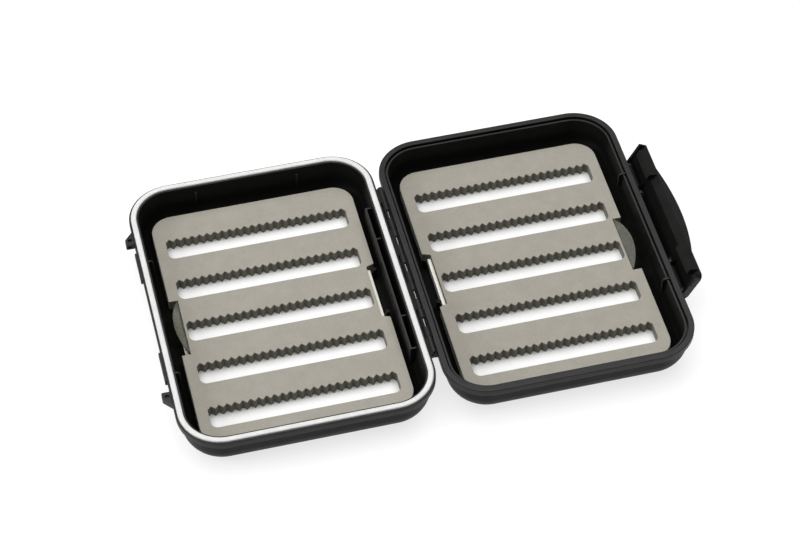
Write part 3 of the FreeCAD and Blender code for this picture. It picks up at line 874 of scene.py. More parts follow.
@dataclass(frozen=True)
class Case:
    """Sizes that the two trays, the hinge and the latch share, in millimetres."""

    length: float = 123.0
    width: float = 91.0
    height: float = 15.5
    corner: float = 16.0
    draft_deg: float = 5.0
    wall: float = 2.1
    floor: float = 1.6
    outer_round: float = 9.5
    inner_round: float = 7.6
    flange_height: float = 2.5
    flange_proud: float = 1.3
    rim_gap: float = 0.7
    outer_lip: float = 0.7
    barrel: float = 1.0
    barrel_clearance: float = 0.25
    pivot_drop: float = 4.1
    pivot_reach: float = 1.3
    closure_shift: float = 0.8
    hair: float = 0.01
    corner_steps: int = 20

    @property
    def draft(self) -> float:
        """Slope of the walls."""
        return math.tan(math.radians(self.draft_deg))

    @property
    def flange_bottom(self) -> float:
        """Underside of the rim flange."""
        return self.height - self.flange_height

    @property
    def rim_inset(self) -> float:
        """Inset of the inner wall at the rim."""
        return self.flange_proud + self.wall

    @property
    def edge(self) -> float:
        """Distance of the base's rim from its middle along X."""
        return self.width / 2

    @property
    def hinge(self) -> Point2:
        """Hinge axis in X and Z."""
        return self.edge + self.barrel + self.barrel_clearance, self.height + self.rim_gap / 2

    @property
    def lid_centre(self) -> float:
        """Middle of the lid along X."""
        return 2 * self.hinge[0]

    @property
    def pivot(self) -> Point2:
        """Latch axis in X and Z."""
        return self.lid_centre + self.edge + self.pivot_reach, self.height - self.pivot_drop

    @property
    def inner_centre(self) -> float:
        """Inset of the centre of the inner bottom round."""
        at_centre = self.rim_inset + self.draft * (self.height - self.floor - self.inner_round)
        return at_centre + self.inner_round / math.cos(math.radians(self.draft_deg))

    def inset(self, z: float) -> float:
        """Inset of the inner face at a height.

        Args:
            z: The height.

        Returns:
            The distance inwards from the rim's edge.
        """
        middle = self.floor + self.inner_round
        if z >= middle:
            return self.rim_inset + self.draft * (self.height - z)
        return self.inner_centre - math.sqrt(self.inner_round ** 2 - (middle - z) ** 2)

    def bottom_round(self, centre: float, level: float, radius: float, steps: int = 12) -> list[Point2]:
        """Arc of a bottom round from its wall down to its floor.

        Args:
            centre: Inset of the arc's centre.
            level: Height of the floor.
            radius: Radius of the arc.
            steps: Faces along the arc.

        Returns:
            Its points as inset and height.
        """
        first = math.radians(self.draft_deg)
        turns = [first + (math.pi / 2 - first) * k / steps for k in range(steps + 1)]
        return [(centre - radius * math.cos(a), level + radius - radius * math.sin(a)) for a in turns]

    def off_centre(self, mesh: Mesh) -> Mesh:
        """Move a piece of the closure to its place along Y."""
        return moved(mesh, Matrix.Translation((0, self.closure_shift * MM, 0)))

    def mirrored(self) -> Matrix:
        """Mirror that carries a base-side shape to the lid."""
        return Matrix.Translation((self.lid_centre * MM, 0, 0)) @ Matrix.Scale(-1, 4, (1, 0, 0))


def sweep_rim(sweep: GeometryTree, case: Case, section: Sequence[Point2], closed: bool,
              finish: Material) -> Mesh:
    """Carry a section of insets and heights round the rim.

    Args:
        sweep: The tree that carries it.
        case: The box's sizes.
        section: Points as inset and height.
        closed: Whether the last point joins the first.
        finish: Material of the result.

    Returns:
        The swept mesh in metres.
    """
    count = len(section)
    mesh = bpy.data.meshes.new("section")
    mesh.from_pydata([(-d * MM, -z * MM, 0.0) for d, z in section],
                     [(k, (k + 1) % count) for k in range(count if closed else count - 1)], [])
    return sweep.run(mesh, Width=case.width * MM, Length=case.length * MM, Corner=case.corner * MM,
                     Steps=case.corner_steps, Material=finish)


@dataclass
class Tray:
    """What base and lid have in common: the drafted shell, its inner ribs and its hinge knuckles."""

    case: Case
    sweep: GeometryTree
    row: GeometryTree
    finish: Material
    # Darker, duller copy of the case plastic that paints shade on the inner and lower walls.
    wall_shade_material: Material
    soft: float = 0.12
    soft_flat: float = 0.1
    rib: float = 0.8
    stub_reach: float = 1.6
    stub_drop: float = 0.3
    stub_y: float = 26.5
    stub_round: float = 1.0
    post: float = 0.9
    post_soft: float = 0.2
    post_height: float = 5.4
    post_x: float = 37.3
    post_y: float = 10.3
    pad: float = 3.0
    pad_height: float = 0.4
    pad_place: Point2 = (25.0, 40.0)
    hinge_half: float = 40.2
    knuckle_pitch: float = 13.2
    knuckle_gap: float = 0.15
    knuckle_soft: float = 0.07
    knuckle_turn: float = 135.0
    knuckle_steps: int = 24
    pin_bore: float = 0.5
    window: Point2 = (1.0, 4.3)
    leaf: float = 1.35
    leaf_gap: float = 0.1
    lip_margin: float = 0.15

    def shell(self, rim: Sequence[Point2], radii: Sequence[float]) -> Mesh:
        """Drafted shell of one section carried round the rim.

        Args:
            rim: Corners of the rim from the inner wall's top to the flange's underside, as inset and height.
            radii: Rounding of each of these corners.

        Returns:
            The closed shell in metres.
        """
        case = self.case
        inner = case.bottom_round(case.inner_centre, case.floor, case.inner_round)[::-1]
        at_round = case.flange_proud + case.draft * (case.flange_bottom - case.outer_round)
        centre = at_round + case.outer_round / math.cos(math.radians(case.draft_deg))
        outer = case.bottom_round(centre, 0.0, case.outer_round)
        path = rounded([inner[-1], *rim, outer[0]], [0.0, *radii, 0.0])
        section = [*inner[:-1], *path, *outer[1:]]
        return outward(sweep_rim(self.sweep, case, section, False, self.finish), cap=True)

    def paint_wall_shade(self, piece: Object, count: int, centre: float) -> None:
        """Paint shade on the shell below and inside its rim, and on the low posts and pads, with a darker,
        duller copy of the case plastic.

        Args:
            piece: The gathered tray.
            count: Number of the piece's first faces that are the shell.
            centre: Middle of the tray along X.
        """
        case = self.case
        piece.data.materials.append(self.wall_shade_material)
        last = len(piece.data.materials) - 1
        straight_x, straight_y = case.width / 2 - case.corner, case.length / 2 - case.corner
        post_top = case.floor + self.post_height + self.lip_margin
        for number, face in enumerate(piece.data.polygons):
            x, y, z = (v / MM for v in face.center)
            out_x, out_y = abs(x - centre) - straight_x, abs(y) - straight_y
            reach = math.hypot(out_x, out_y) if min(out_x, out_y) > 0 else max(out_x, out_y)
            inside = case.corner - reach > case.inset(max(z, case.floor)) - self.lip_margin
            on_shell = number < count and (inside or z < case.flange_bottom - self.lip_margin)
            on_post = number >= count and inside and z < post_top
            # These faces take the darker copy of the plastic: painted shade.
            if on_shell or on_post:
                face.material_index = last

    def repeat(self, mesh: Mesh, count: int, start: Sequence[float], step: Sequence[float]) -> Mesh:
        """Row of one solid, start and step in millimetres."""
        return self.row.run(mesh, Count=count, Start=[v * MM for v in start], Step=[v * MM for v in step],
                            Material=self.finish)

    def pair(self, mesh: Mesh, reach: float, x: float = 0.0) -> Mesh:
        """Two of one solid, at equal distances from the middle along Y."""
        return self.repeat(mesh, 2, (x, -reach, 0), (0, 2 * reach, 0))

    def inner_ribs(self) -> list[Mesh]:
        """Stub ribs, posts and pads, hinge on the +X side.

        Returns:
            Their softened solids.
        """
        case = self.case
        fin_top, low = case.height - self.stub_drop, case.floor + case.inner_round
        x0, x1 = -case.edge + case.flange_proud + case.wall / 2, -case.edge + case.rim_inset + self.stub_reach
        outline = rounded([(x0, low), (x0, fin_top), (x1, fin_top), (x1, low)], [0, 0, self.stub_round, 0],
                          steps=6)
        fin = soften(profile_y(outline, -self.rib / 2, self.rib / 2), self.soft)
        post = rod_z(self.post, self.post_x, 0, case.floor / 2, case.floor + self.post_height)
        posts = self.pair(soften(post, self.post_soft), self.post_y)
        top = case.floor + self.pad_height
        pad = soften(block(-self.pad, self.pad, -self.pad, self.pad, case.floor / 2, top), self.soft_flat)
        pad_x, pad_y = self.pad_place
        pads = [self.pair(pad.copy(), pad_y, x) for x in (-pad_x, pad_x)]
        return [self.pair(fin, self.stub_y), posts, *pads]

    def knuckle(self, y0: float, y1: float, open_top: bool) -> Mesh:
        """One hinge barrel with its web, bored for the pin.

        Args:
            y0: Near end.
            y1: Far end.
            open_top: Whether a window shows the pin.

        Returns:
            The softened solid in the base's frame.
        """
        case = self.case
        x, z = case.hinge
        root = case.edge - case.outer_lip / 2
        barrel = arc(case.barrel, x, z, self.knuckle_turn, -self.knuckle_turn, self.knuckle_steps)
        points = [(root, case.height - 2 * case.hair), *barrel, (root, case.flange_bottom + self.leaf / 2)]
        tools = [rod_y(self.pin_bore, x, z, y0 - OVERRUN, y1 + OVERRUN, self.knuckle_steps)]
        if open_top:
            across, along = (v / 2 for v in self.window)
            middle = (y0 + y1) / 2
            top = z + case.barrel + OVERRUN
            tools.append(block(x - across, x + across, middle - along, middle + along, z, top))
        return soften(combine(profile_y(points, y0, y1), tools, Join.CUT), self.knuckle_soft)

    def stop_leaf(self) -> Mesh:
        """Leaf under the knuckles that stops the trays when they lie flat.

        Returns:
            The softened solid in the base's frame.
        """
        case = self.case
        low = case.flange_bottom + case.hair
        x0, x1 = case.edge - case.outer_lip / 2, case.hinge[0] - self.leaf_gap / 2
        return soften(block(x0, x1, -self.hinge_half, self.hinge_half, low, low + self.leaf), self.soft_flat)

    def long_knuckles(self, count: int, first: float) -> Mesh:
        """Row of every second long knuckle from the given middle."""
        half, step = (self.knuckle_pitch - self.knuckle_gap) / 2, 2 * self.knuckle_pitch
        return self.repeat(self.knuckle(-half, half, True), count, (0, first, 0), (0, step, 0))


@dataclass
class BaseTray(Tray):
    """Base tray: gasket groove, hinge channel, catches and lanyard ears."""

    gasket_width: float = 2.0
    gasket_seat: float = 1.5
    rim_rounds: tuple[float, ...] = (0.15, 0.12, 0.0, 0.0, 0.12, 0.3, 0.3, 0.15)
    end_knuckle: float = 7.2
    channel_half: float = 34.5
    channel_wall: float = 0.7
    channel_width: float = 1.6
    channel_drop: float = 2.3
    channel_rib_y: float = 18.8
    end_rib_reach: float = 0.8
    end_rib_drop: float = 2.2
    end_rib_x: float = 19.0
    end_rib_foot: float = 0.75
    end_rib_soft: float = 0.18
    catch_span: Point2 = (17.25, 30.35)
    catch_proud: float = 0.7
    catch_drop: float = 0.2
    catch_soft: float = 0.14
    ear_start: float = 35.05
    ear_flat: float = 2.55
    ear_ramp: float = 3.35
    ear_reach: float = 2.95
    ear_root: float = 1.2
    ear_drop: float = 0.3
    ear_thickness: float = 2.6
    ear_rounds: tuple[float, ...] = (0.0, 0.35, 0.5, 0.4, 0.0)
    ear_hole: float = 0.8
    ear_hole_out: float = 1.2
    ear_hole_in: float = 0.55
    pocket_out: float = 0.85
    pocket_size: Point3 = (1.5, 0.5, 1.7)
    pocket_drop: float = 0.4

    def rim(self) -> list[Point2]:
        """Corners of the grooved rim.

        Returns:
            Them as inset and height, from the inner wall outwards.
        """
        case = self.case
        top, seat = case.height, case.height - self.gasket_seat
        inner, lip = case.outer_lip + self.gasket_width, case.outer_lip
        return [(case.rim_inset, top), (inner, top), (inner, seat), (lip, seat), (lip, top), (0.0, top),
                (0.0, case.flange_bottom), (case.flange_proud, case.flange_bottom)]

    def channel(self) -> list[Mesh]:
        """Upright wall beside the hinge, its end walls and its cross ribs, which end inside the tray's wall.

        Returns:
            Their softened solids.
        """
        case = self.case
        top = case.height - self.channel_drop
        low = case.floor + case.inner_round / 4
        outer = case.edge - case.inset(top) - self.channel_width
        half, thin = self.channel_half, self.channel_wall
        wall = soften(block(outer - thin, outer, -half, half, low, top), self.soft)
        start, root = outer - thin / 2, case.edge - case.flange_proud - case.wall / 2
        foot, bend = case.edge - case.inset(low) + case.floor / 2, case.floor + case.inner_round
        crest = top - case.hair
        outline = [(start, low), (foot, low), (root, bend), (root, crest), (start, crest)]
        rib = soften(profile_y(outline, -thin / 2, thin / 2), self.soft)
        return [wall, self.pair(rib.copy(), half - thin / 2), self.pair(rib, self.channel_rib_y)]

    def ear(self) -> Mesh:
        """Lanyard ear on the far side: a flat lug that ramps back to the wall.

        Returns:
            The softened solid with its hole and its side recess.
        """
        case = self.case
        top, tip, root = case.height - self.ear_drop, -case.edge - self.ear_reach, -case.edge + self.ear_root
        low, start = top - self.ear_thickness, self.ear_start
        flat, end = start + self.ear_flat, start + self.ear_flat + self.ear_ramp
        outline = [(root, start), (tip, start), (tip, flat), (-case.edge, end), (root, end)]
        lug = prism_z(rounded(outline, self.ear_rounds, steps=5), low, top)
        hole = rod_z(self.ear_hole, -case.edge - self.ear_hole_out, flat - self.ear_hole_in, low - OVERRUN,
                     top + OVERRUN)
        wide, deep, tall = self.pocket_size
        x1, z1 = -case.edge - self.pocket_out, top - self.pocket_drop
        pocket = block(x1 - wide, x1, start - OVERRUN, start + deep, z1 - tall, z1)
        return soften(combine(lug, [hole, pocket], Join.CUT), self.soft)

    def end_ribs(self) -> list[Mesh]:
        """Thin upright ribs on both end walls.

        Returns:
            Those of the far end and those of the near end.
        """
        case = self.case
        top, half = case.height - self.end_rib_drop, self.rib / 2
        tip = case.length / 2 - case.inset(top) - self.end_rib_reach
        root = case.length / 2 - case.flange_proud - case.wall / 2
        low = case.floor + case.inner_round * self.end_rib_foot
        end = soften(block(-half, half, tip, root, low, top), self.end_rib_soft)
        return both_ends(self.repeat(end, 2, (-self.end_rib_x, 0, 0), (2 * self.end_rib_x, 0, 0)))

    def outer_details(self) -> list[Mesh]:
        """Knuckles, stop leaf, catches and ears.

        Returns:
            Their softened solids.
        """
        case = self.case
        end = self.knuckle(self.hinge_half - self.end_knuckle + self.knuckle_gap / 2, self.hinge_half, False)
        strip = soften(block(-case.edge - self.catch_proud, -case.edge + case.outer_lip / 2, *self.catch_span,
                             case.flange_bottom + case.hair, case.height - self.catch_drop), self.catch_soft)
        closure = [*both_ends(strip), *both_ends(self.ear())]
        return [self.long_knuckles(2, -self.knuckle_pitch), *both_ends(end), self.stop_leaf(),
                *(case.off_centre(mesh) for mesh in closure)]

    def build(self) -> Object:
        """Build the whole base tray.

        Returns:
            The finished piece.
        """
        shell = self.shell(self.rim(), self.rim_rounds)
        parts = [shell, *self.inner_ribs(), *self.end_ribs(), *self.channel(), *self.outer_details()]
        piece = gather("base_tray_moulding", [(mesh, self.finish) for mesh in parts])
        self.paint_wall_shade(piece, len(shell.polygons), 0.0)
        return place(piece, "base", "case_plastic", "base_tray")


@dataclass
class LidTray(Tray):
    """Lid tray: flat rim band, narrow groove, lower inner lip and latch lugs."""

    band: float = 2.15
    groove: Point2 = (0.5, 2.0)
    lip_drop: float = 0.8
    rim_rounds: tuple[float, ...] = (0.15, 0.1, 0.0, 0.0, 0.12, 0.3, 0.3, 0.15)
    lug_radius: float = 1.6
    lug_top_drop: float = 0.6
    lug_spans: tuple[Point2, Point2] = ((16.6, 18.3), (30.9, 32.4))
    lug_turn: Point2 = (120.0, -75.0)
    lug_steps: int = 20
    latch_bore: float = 0.72
    bore_steps: int = 28

    def rim(self) -> list[Point2]:
        """Corners of the banded rim.

        Returns:
            Them as inset and height, from the inner wall outwards.
        """
        case = self.case
        top, lip = case.height, case.height - self.lip_drop
        wide, deep = self.groove
        inner, band = self.band + wide, self.band
        return [(case.rim_inset + case.draft * self.lip_drop, lip), (inner, lip), (inner, top - deep),
                (band, top - deep), (band, top), (0.0, top), (0.0, case.flange_bottom),
                (case.flange_proud, case.flange_bottom)]

    def lug(self, y0: float, y1: float) -> Mesh:
        """Lug that carries a latch pin.

        Args:
            y0: Near end.
            y1: Far end.

        Returns:
            The softened solid in the lid's frame.
        """
        case = self.case
        x, z = case.pivot
        edge, top = case.lid_centre + case.edge, case.height - self.lug_top_drop
        root = edge - case.flange_proud - case.wall / 3
        points = [(root, top), (edge, top), *arc(self.lug_radius, x, z, *self.lug_turn, self.lug_steps),
                  (root, z - self.lug_radius)]
        bore = rod_y(self.latch_bore, x, z, y0 - OVERRUN, y1 + OVERRUN, self.bore_steps)
        return soften(combine(profile_y(points, y0, y1), [bore], Join.CUT), self.soft)

    def build(self) -> Object:
        """Build the whole lid tray.

        Returns:
            The finished piece.
        """
        shell = self.shell(self.rim(), self.rim_rounds)
        count = len(shell.polygons)
        parts = [shell, *self.inner_ribs(), self.long_knuckles(3, -2 * self.knuckle_pitch), self.stop_leaf()]
        parts = [moved(mesh, self.case.mirrored()) for mesh in parts]
        lugs = [self.lug(*span(sy, *ends)) for ends in self.lug_spans for sy in (1, -1)]
        parts += [self.case.off_centre(lug) for lug in lugs]
        piece = gather("lid_tray_moulding", [(mesh, self.finish) for mesh in parts])
        self.paint_wall_shade(piece, count, self.case.lid_centre)
        return place(piece, "lid", "lid_plastic", "lid_tray")


@dataclass
class Gasket:
    """Soft ring that stands proud of the base rim."""

    case: Case
    sweep: GeometryTree
    finish: Material
    width: float = 2.0
    seat: float = 1.5
    clearance: float = 0.05
    crown: float = 0.5

    def build(self) -> Object:
        """Build the ring from one closed section.

        Returns:
            The finished piece.
        """
        case = self.case
        low, top = case.height - self.seat, case.height + case.rim_gap - self.clearance
        inner, lip = case.outer_lip + self.width, case.outer_lip
        path = rounded([(inner, low), (inner, top), (lip, top), (lip, low)],
                       [0, self.crown, self.crown, 0], steps=6)
        ring = outward(sweep_rim(self.sweep, case, path, True, self.finish))
        return place(gather("rim_gasket_ring", [(ring, self.finish)]), "base", "gasket_rubber", "rim_gasket")


@dataclass
class LatchLever:
    """Lever on the lid's free side: plate, hooks, barrels, end arms, apron and bowed grip."""

    case: Case
    finish: Material
    # Darker copy of the plastic: painted shade behind the plate and under the hooks.
    channel_shade_material: Material
    half: float = 33.8
    open_deg: float = 28.0
    side_clearance: float = 0.3
    catch_proud: float = 0.7
    plate_clearance: float = 0.3
    plate: float = 2.0
    recess: float = 1.3
    corner_rounds: Point2 = (2.0, 0.9)
    lug_radius: float = 1.6
    edge_lift: float = 0.3
    arm_radius: float = 1.5
    arm_steps: int = 48
    bore: float = 0.75
    bore_end: float = 33.3
    bore_steps: int = 28
    end_arm: float = 1.2
    barrel: Point2 = (18.5, 30.7)
    inner_arm: float = 1.5
    inner_arm_rise: float = 2.2
    apron_half: float = 15.6
    apron_depth: float = 3.4
    catch_clearance: float = 0.15
    hook_span: Point2 = (17.4, 30.2)
    hook_reach: float = 1.6
    hook_height: float = 3.05
    lead_in: float = 0.7
    grip_half: float = 21.0
    grip_bow: float = 3.1
    grip_faded: float = 0.3
    grip_height: float = 5.5
    soft: float = 0.14
    sharp_deg: float = 9.0

    @property
    def edge(self) -> float:
        """The lid's rim along X."""
        return self.case.lid_centre + self.case.edge

    @property
    def back(self) -> float:
        """Inner face of the plate when the lever is closed."""
        return self.edge + self.catch_proud + self.plate_clearance

    @property
    def front(self) -> float:
        """Outer face of the plate when the lever is closed."""
        return self.back + self.plate

    @property
    def tip(self) -> float:
        """Inner face of the hooks when the lever is closed."""
        return self.back - self.plate_clearance - self.hook_reach

    @property
    def low(self) -> float:
        """Lower edge of the plate."""
        return self.case.pivot[1] + self.lug_radius + self.edge_lift

    @property
    def ledge(self) -> float:
        """Underside of the hooks."""
        return 2 * self.case.hinge[1] - self.case.flange_bottom + self.catch_clearance

    @property
    def top(self) -> float:
        """Free edge."""
        return self.ledge + self.hook_height

    def bow(self, steps: int = 48) -> Mesh:
        """Bowed solid of the grip.

        Args:
            steps: Faces along the bow.

        Returns:
            The closed solid.
        """
        root, half = self.back + self.recess, self.grip_half
        loops = []
        for z, bow in ((self.top - self.grip_height, self.grip_faded), (self.top, self.grip_bow)):
            ys = [half * (2 * k / steps - 1) for k in range(steps + 1)]
            loop = [Vector((self.front + bow * (1 - (y / half) ** 2), y, z)) for y in ys]
            loops.append([*loop, Vector((root, half, z)), Vector((root, -half, z))])
        return loft(*loops)

    def boss(self, y0: float, y1: float) -> Mesh:
        """Round boss on the latch axis."""
        return rod_y(self.arm_radius, *self.case.pivot, y0, y1, self.arm_steps)

    def arm(self, y0: float, y1: float, top: float) -> Mesh:
        """Pivot boss with a strip from it up the plate's inner side."""
        strip = block(self.edge + self.side_clearance, self.front, y0, y1, self.case.pivot[1], top)
        return combine(strip, [self.boss(y0, y1)], Join.UNION)

    def hook(self, y0: float, y1: float) -> Mesh:
        """Hook block with its sloped top."""
        root, slope = self.back + self.recess, (self.tip, self.top - self.lead_in)
        return profile_y([(self.tip, self.ledge), (root, self.ledge), (root, self.top), slope], y0, y1)

    def plan(self) -> Mesh:
        """Solid of the lever's outline with its two rounded free corners.

        Returns:
            The closed solid.
        """
        foot = self.case.pivot[1] - 2 * self.arm_radius
        near, far = self.corner_rounds
        corners = [(self.half, foot), (self.half, self.top), (-self.half, self.top), (-self.half, foot)]
        x0, x1 = self.tip - OVERRUN, self.front + self.grip_bow + OVERRUN
        outline = rounded(corners, [0, far, near, 0], steps=8)
        return prism([Vector((x0, y, z)) for y, z in outline], Vector((x1 - x0, 0, 0)))

    def end_fittings(self, sy: int) -> list[Mesh]:
        """Barrel with its web, inner arm, end arm and hook of one end.

        Args:
            sy: 1 for the far end, -1 for the near end.

        Returns:
            Their solids.
        """
        y0, y1 = span(sy, *self.barrel)
        start = self.barrel[0]
        web = block(self.back, self.front, y0, y1, self.case.pivot[1], self.low + OVERRUN)
        return [self.boss(y0, y1), web,
                self.arm(*span(sy, start, start + self.inner_arm), self.low + self.inner_arm_rise),
                self.arm(*span(sy, self.half - self.end_arm, self.half), self.top),
                self.hook(*span(sy, *self.hook_span))]

    def paint_channel_shade(self, piece: Object, swing: Matrix) -> None:
        """Paint shade on the faces behind the plate and under the hooks with a darker, duller copy of the
        plastic.

        Args:
            piece: The gathered lever.
            swing: Turn from the closed lever to the open one.
        """
        piece.data.materials.append(self.channel_shade_material)
        back = swing.inverted()
        for face in piece.data.polygons:
            x, _, z = (v / MM for v in back @ face.center)
            # Faces behind the plate and under the hooks take the painted shade.
            if x < self.back + self.side_clearance and z < self.ledge:
                face.material_index = 1

    def build(self) -> Object:
        """Build the lever, swung open by its rest angle.

        Returns:
            The finished piece.
        """
        x, z = self.case.pivot
        section = [(self.back, self.low), (self.front, self.low), (self.front, self.top),
                   (self.back + self.recess, self.top), (self.back, self.ledge)]
        apron = block(self.back, self.front, -self.apron_half, self.apron_half, self.low - self.apron_depth,
                      self.low + OVERRUN)
        solids = [self.bow(), apron, *self.end_fittings(-1), *self.end_fittings(1)]
        bores = [rod_y(self.bore, x, z, *span(sy, self.bore_end, self.barrel[0] - OVERRUN), self.bore_steps)
                 for sy in (-1, 1)]
        mesh = combine(profile_y(section, -self.half, self.half), solids, Join.UNION)
        mesh = combine(combine(mesh, [self.plan()], Join.COMMON), bores, Join.CUT)
        pin = Matrix.Translation((x * MM, 0, z * MM))
        swing = pin @ Matrix.Rotation(math.radians(self.open_deg), 4, "Y") @ pin.inverted()
        lever = self.case.off_centre(moved(soften(outward(mesh), self.soft), swing))
        piece = gather("latch_lever_moulding", [(lever, self.finish)], self.sharp_deg)
        self.paint_channel_shade(piece, swing)
        return place(piece, "latch", "latch_plastic", "latch_lever")


@dataclass
class Insert:
    """White plate, slotted foam sheet and pull tab of one half."""

    case: Case
    side: Side
    sheet: GeometryTree
    finishes: Finishes
    pad_height: float = 0.4
    plate: float = 0.7
    plate_clearance: float = 0.28
    plate_soft: float = 0.12
    foam: float = 4.2
    foam_soft: float = 0.16
    foam_soft_deg: float = 28.0
    side_clearance: float = 0.14
    end_clearance: float = 0.39
    corner_extra: float = -0.5
    slots: int = 5
    slot_depth: float = 9.6
    slot_margin: float = 4.1
    far_margin: float = 11.05
    near_margin: float = 6.4
    slot_corner: float = 2.5
    notches: int = 24
    notch_depth: float = 1.4
    hinge_notch: Point3 = (2.95, 12.0, 1.0)
    tab_notch: Point2 = (3.25, 12.8)
    rail_height: float = 2.3
    rail_half: float = 11.9
    rail_sink: float = 0.05
    rail_soft: float = 0.2
    tab: float = 0.6
    tab_half: float = 12.0
    tab_reach: float = 3.6
    tab_rise: float = 2.0
    tab_bends: Point2 = (0.7, 0.4)
    tab_soft: float = 0.1
    tab_steps: int = 40

    @property
    def plate_low(self) -> float:
        """Underside of the plate."""
        return self.case.floor + self.pad_height

    @property
    def foam_low(self) -> float:
        """Underside of the foam."""
        return self.plate_low + self.plate

    @property
    def foam_top(self) -> float:
        """Top of the foam."""
        return self.foam_low + self.foam

    @property
    def foam_size(self) -> Point2:
        """Width and length of the foam sheet.

        Returns:
            Both in millimetres.
        """
        inset = self.case.inset(self.foam_low)
        return (self.case.width - 2 * (inset + self.side_clearance),
                self.case.length - 2 * (inset + self.end_clearance))

    def placed(self, mesh: Mesh) -> Mesh:
        """Carry a base-side mesh to this half."""
        return mesh if self.side is Side.BASE else moved(mesh, self.case.mirrored())

    def named(self, what: str) -> str:
        """Name of this half's piece or node."""
        return f"{self.side.value}_{what}"

    def build_plate(self) -> Object:
        """White plate with the cream rail in the hinge-side notch.

        Returns:
            The finished piece.
        """
        case = self.case
        inset = case.inset(self.plate_low) + self.plate_clearance
        half_x, half_y, r = case.width / 2 - inset, case.length / 2 - inset, case.corner - inset
        corners = []
        for sx, sy, start in ((1, 1, 0), (-1, 1, 90), (-1, -1, 180), (1, -1, 270)):
            corners += arc(r, sx * (half_x - r), sy * (half_y - r), start, start + 90, case.corner_steps)
        low = [Vector((x, y, self.plate_low)) for x, y in corners]
        slab = soften(prism(low, Vector((0, 0, self.plate))), self.plate_soft)
        x0 = self.foam_size[0] / 2 - self.hinge_notch[0]
        rail = block(x0, half_x, -self.rail_half, self.rail_half, self.foam_low - self.rail_sink,
                     self.foam_low + self.rail_height)
        piece = gather(self.named("plate_sheet"), [(self.placed(slab), self.finishes.plate), (
            self.placed(soften(rail, self.rail_soft, 3)), self.finishes.rail)])
        return place(piece, self.named("insert"), "plate_white", self.named("insert_plate"))

    def side_cuts(self) -> Mesh:
        """Solids of the hinge-side notch and the pull tab's notch.

        Returns:
            Both in one mesh.
        """
        edge = self.foam_size[0] / 2
        deep, half, slant = self.hinge_notch
        slant *= (deep + OVERRUN) / deep
        z0, rise = self.foam_low - OVERRUN, Vector((0, 0, self.foam + 2 * OVERRUN))
        plan = [(edge - deep, -half), (edge + OVERRUN, -half - slant), (edge + OVERRUN, half + slant),
                (edge - deep, half)]
        hinge_cut = prism([Vector((x, y, z0)) for x, y in plan], rise)
        reach, tab_half = self.tab_notch
        tab_cut = block(-edge - OVERRUN, -edge + reach, -tab_half, tab_half, z0, z0 + rise.z)
        bm = bmesh.new()
        for mesh in (hinge_cut, tab_cut):
            bm.from_mesh(mesh)
        cuts = bpy.data.meshes.new("side_notches")
        bm.to_mesh(cuts)
        bm.free()
        return cuts

    def build_foam(self) -> Object:
        """Slotted foam sheet with its two side notches.

        Returns:
            The finished piece.
        """
        width, length = self.foam_size
        first = length / 2 - self.far_margin - self.slot_depth
        last = -length / 2 + self.near_margin
        corner = self.case.corner - self.case.inset(self.foam_low) - self.side_clearance + self.corner_extra
        mesh = self.sheet.run(
            self.side_cuts(), Width=width * MM, Length=length * MM, Corner=corner * MM,
            Thickness=self.foam * MM, Bottom=self.foam_low * MM, Slots=self.slots, First=first * MM,
            Spacing=(first - last) / (self.slots - 1) * MM, Half=(width / 2 - self.slot_margin) * MM,
            Depth=self.slot_depth * MM, Notch=self.notch_depth * MM, Teeth=self.notches,
            Slot_Corner=self.slot_corner * MM, Material=self.finishes.foam)
        mesh = soften(outward(mesh), self.foam_soft, angle=self.foam_soft_deg)
        piece = gather(self.named("foam_sheet"), [(self.placed(mesh), self.finishes.foam)])
        place(piece, self.named("insert"), "foam_olive", self.named("foam"))
        return piece

    def build_tab(self) -> Object:
        """D-shaped tab: a leg on the plate and a flap that rises to its bowed edge.

        Returns:
            The finished piece.
        """
        root = -self.foam_size[0] / 2 + self.tab_notch[0]
        leg, tip, thin, half = root - self.tab, root - self.tab_reach, self.tab, self.tab_half
        low, high = self.foam_low, self.foam_top + self.tab_rise
        outer_bend, inner_bend = self.tab_bends
        side = rounded([(root, low), (root, self.foam_top), (tip, high), (tip, high - thin),
                        (leg, self.foam_top - thin), (leg, low)], [0, outer_bend, 0, 0, inner_bend, 0],
                       steps=4)
        bend = leg - tip
        radius = (half ** 2 + bend ** 2) / (2 * bend)
        ys = [half * (1 - 2 * k / self.tab_steps) for k in range(self.tab_steps + 1)]
        plan = [(tip + radius - math.sqrt(radius ** 2 - y ** 2), y) for y in ys]
        plan += [(root + OVERRUN, -half), (root + OVERRUN, half)]
        rise = Vector((0, 0, high - low + 3 * OVERRUN))
        cutter = prism([Vector((x, y, low - OVERRUN)) for x, y in plan], rise)
        shape = combine(profile_y(side, -half, half), [cutter], Join.COMMON)
        shape = self.placed(soften(outward(shape), self.tab_soft))
        piece = gather(self.named("tab_flap"), [(shape, self.finishes.film)])
        return place(piece, self.named("insert"), "tab_clear", self.named("pull_tab"))


def dress_pins(finishes: Finishes) -> None:
    """Give the carried-over steel pins their finish.

    Args:
        finishes: The box's finishes.
    """
    for node in ("hinge_pin", "latch_pin_far", "latch_pin_near"):
        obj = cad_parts[node]
        obj.data.materials.clear()
        obj.data.materials.append(finishes.steel)
        LOG.info("%s keeps its shape and gets drawn steel", node)


# Stage


@dataclass(frozen=True)
class Lamp:
    """Square soft box that faces the object, its place and side in metres and its power in watts."""

    name: str
    place: Point3
    size: float
    power: float
    aim: Point3 = (0.047, 0.0, 0.0)

    def build(self) -> None:
        """Hang the lamp and turn it to the object."""
        data = bpy.data.lights.new(self.name, "AREA")
        data.shape, data.size, data.energy = "SQUARE", self.size, self.power
        obj = bpy.data.objects.new(self.name, data)
        aim = Vector(self.aim) - Vector(self.place)
        obj.matrix_world = Matrix.Translation(self.place) @ aim.to_track_quat("-Z", "Y").to_matrix().to_4x4()
        bpy.context.scene.collection.objects.link(obj)


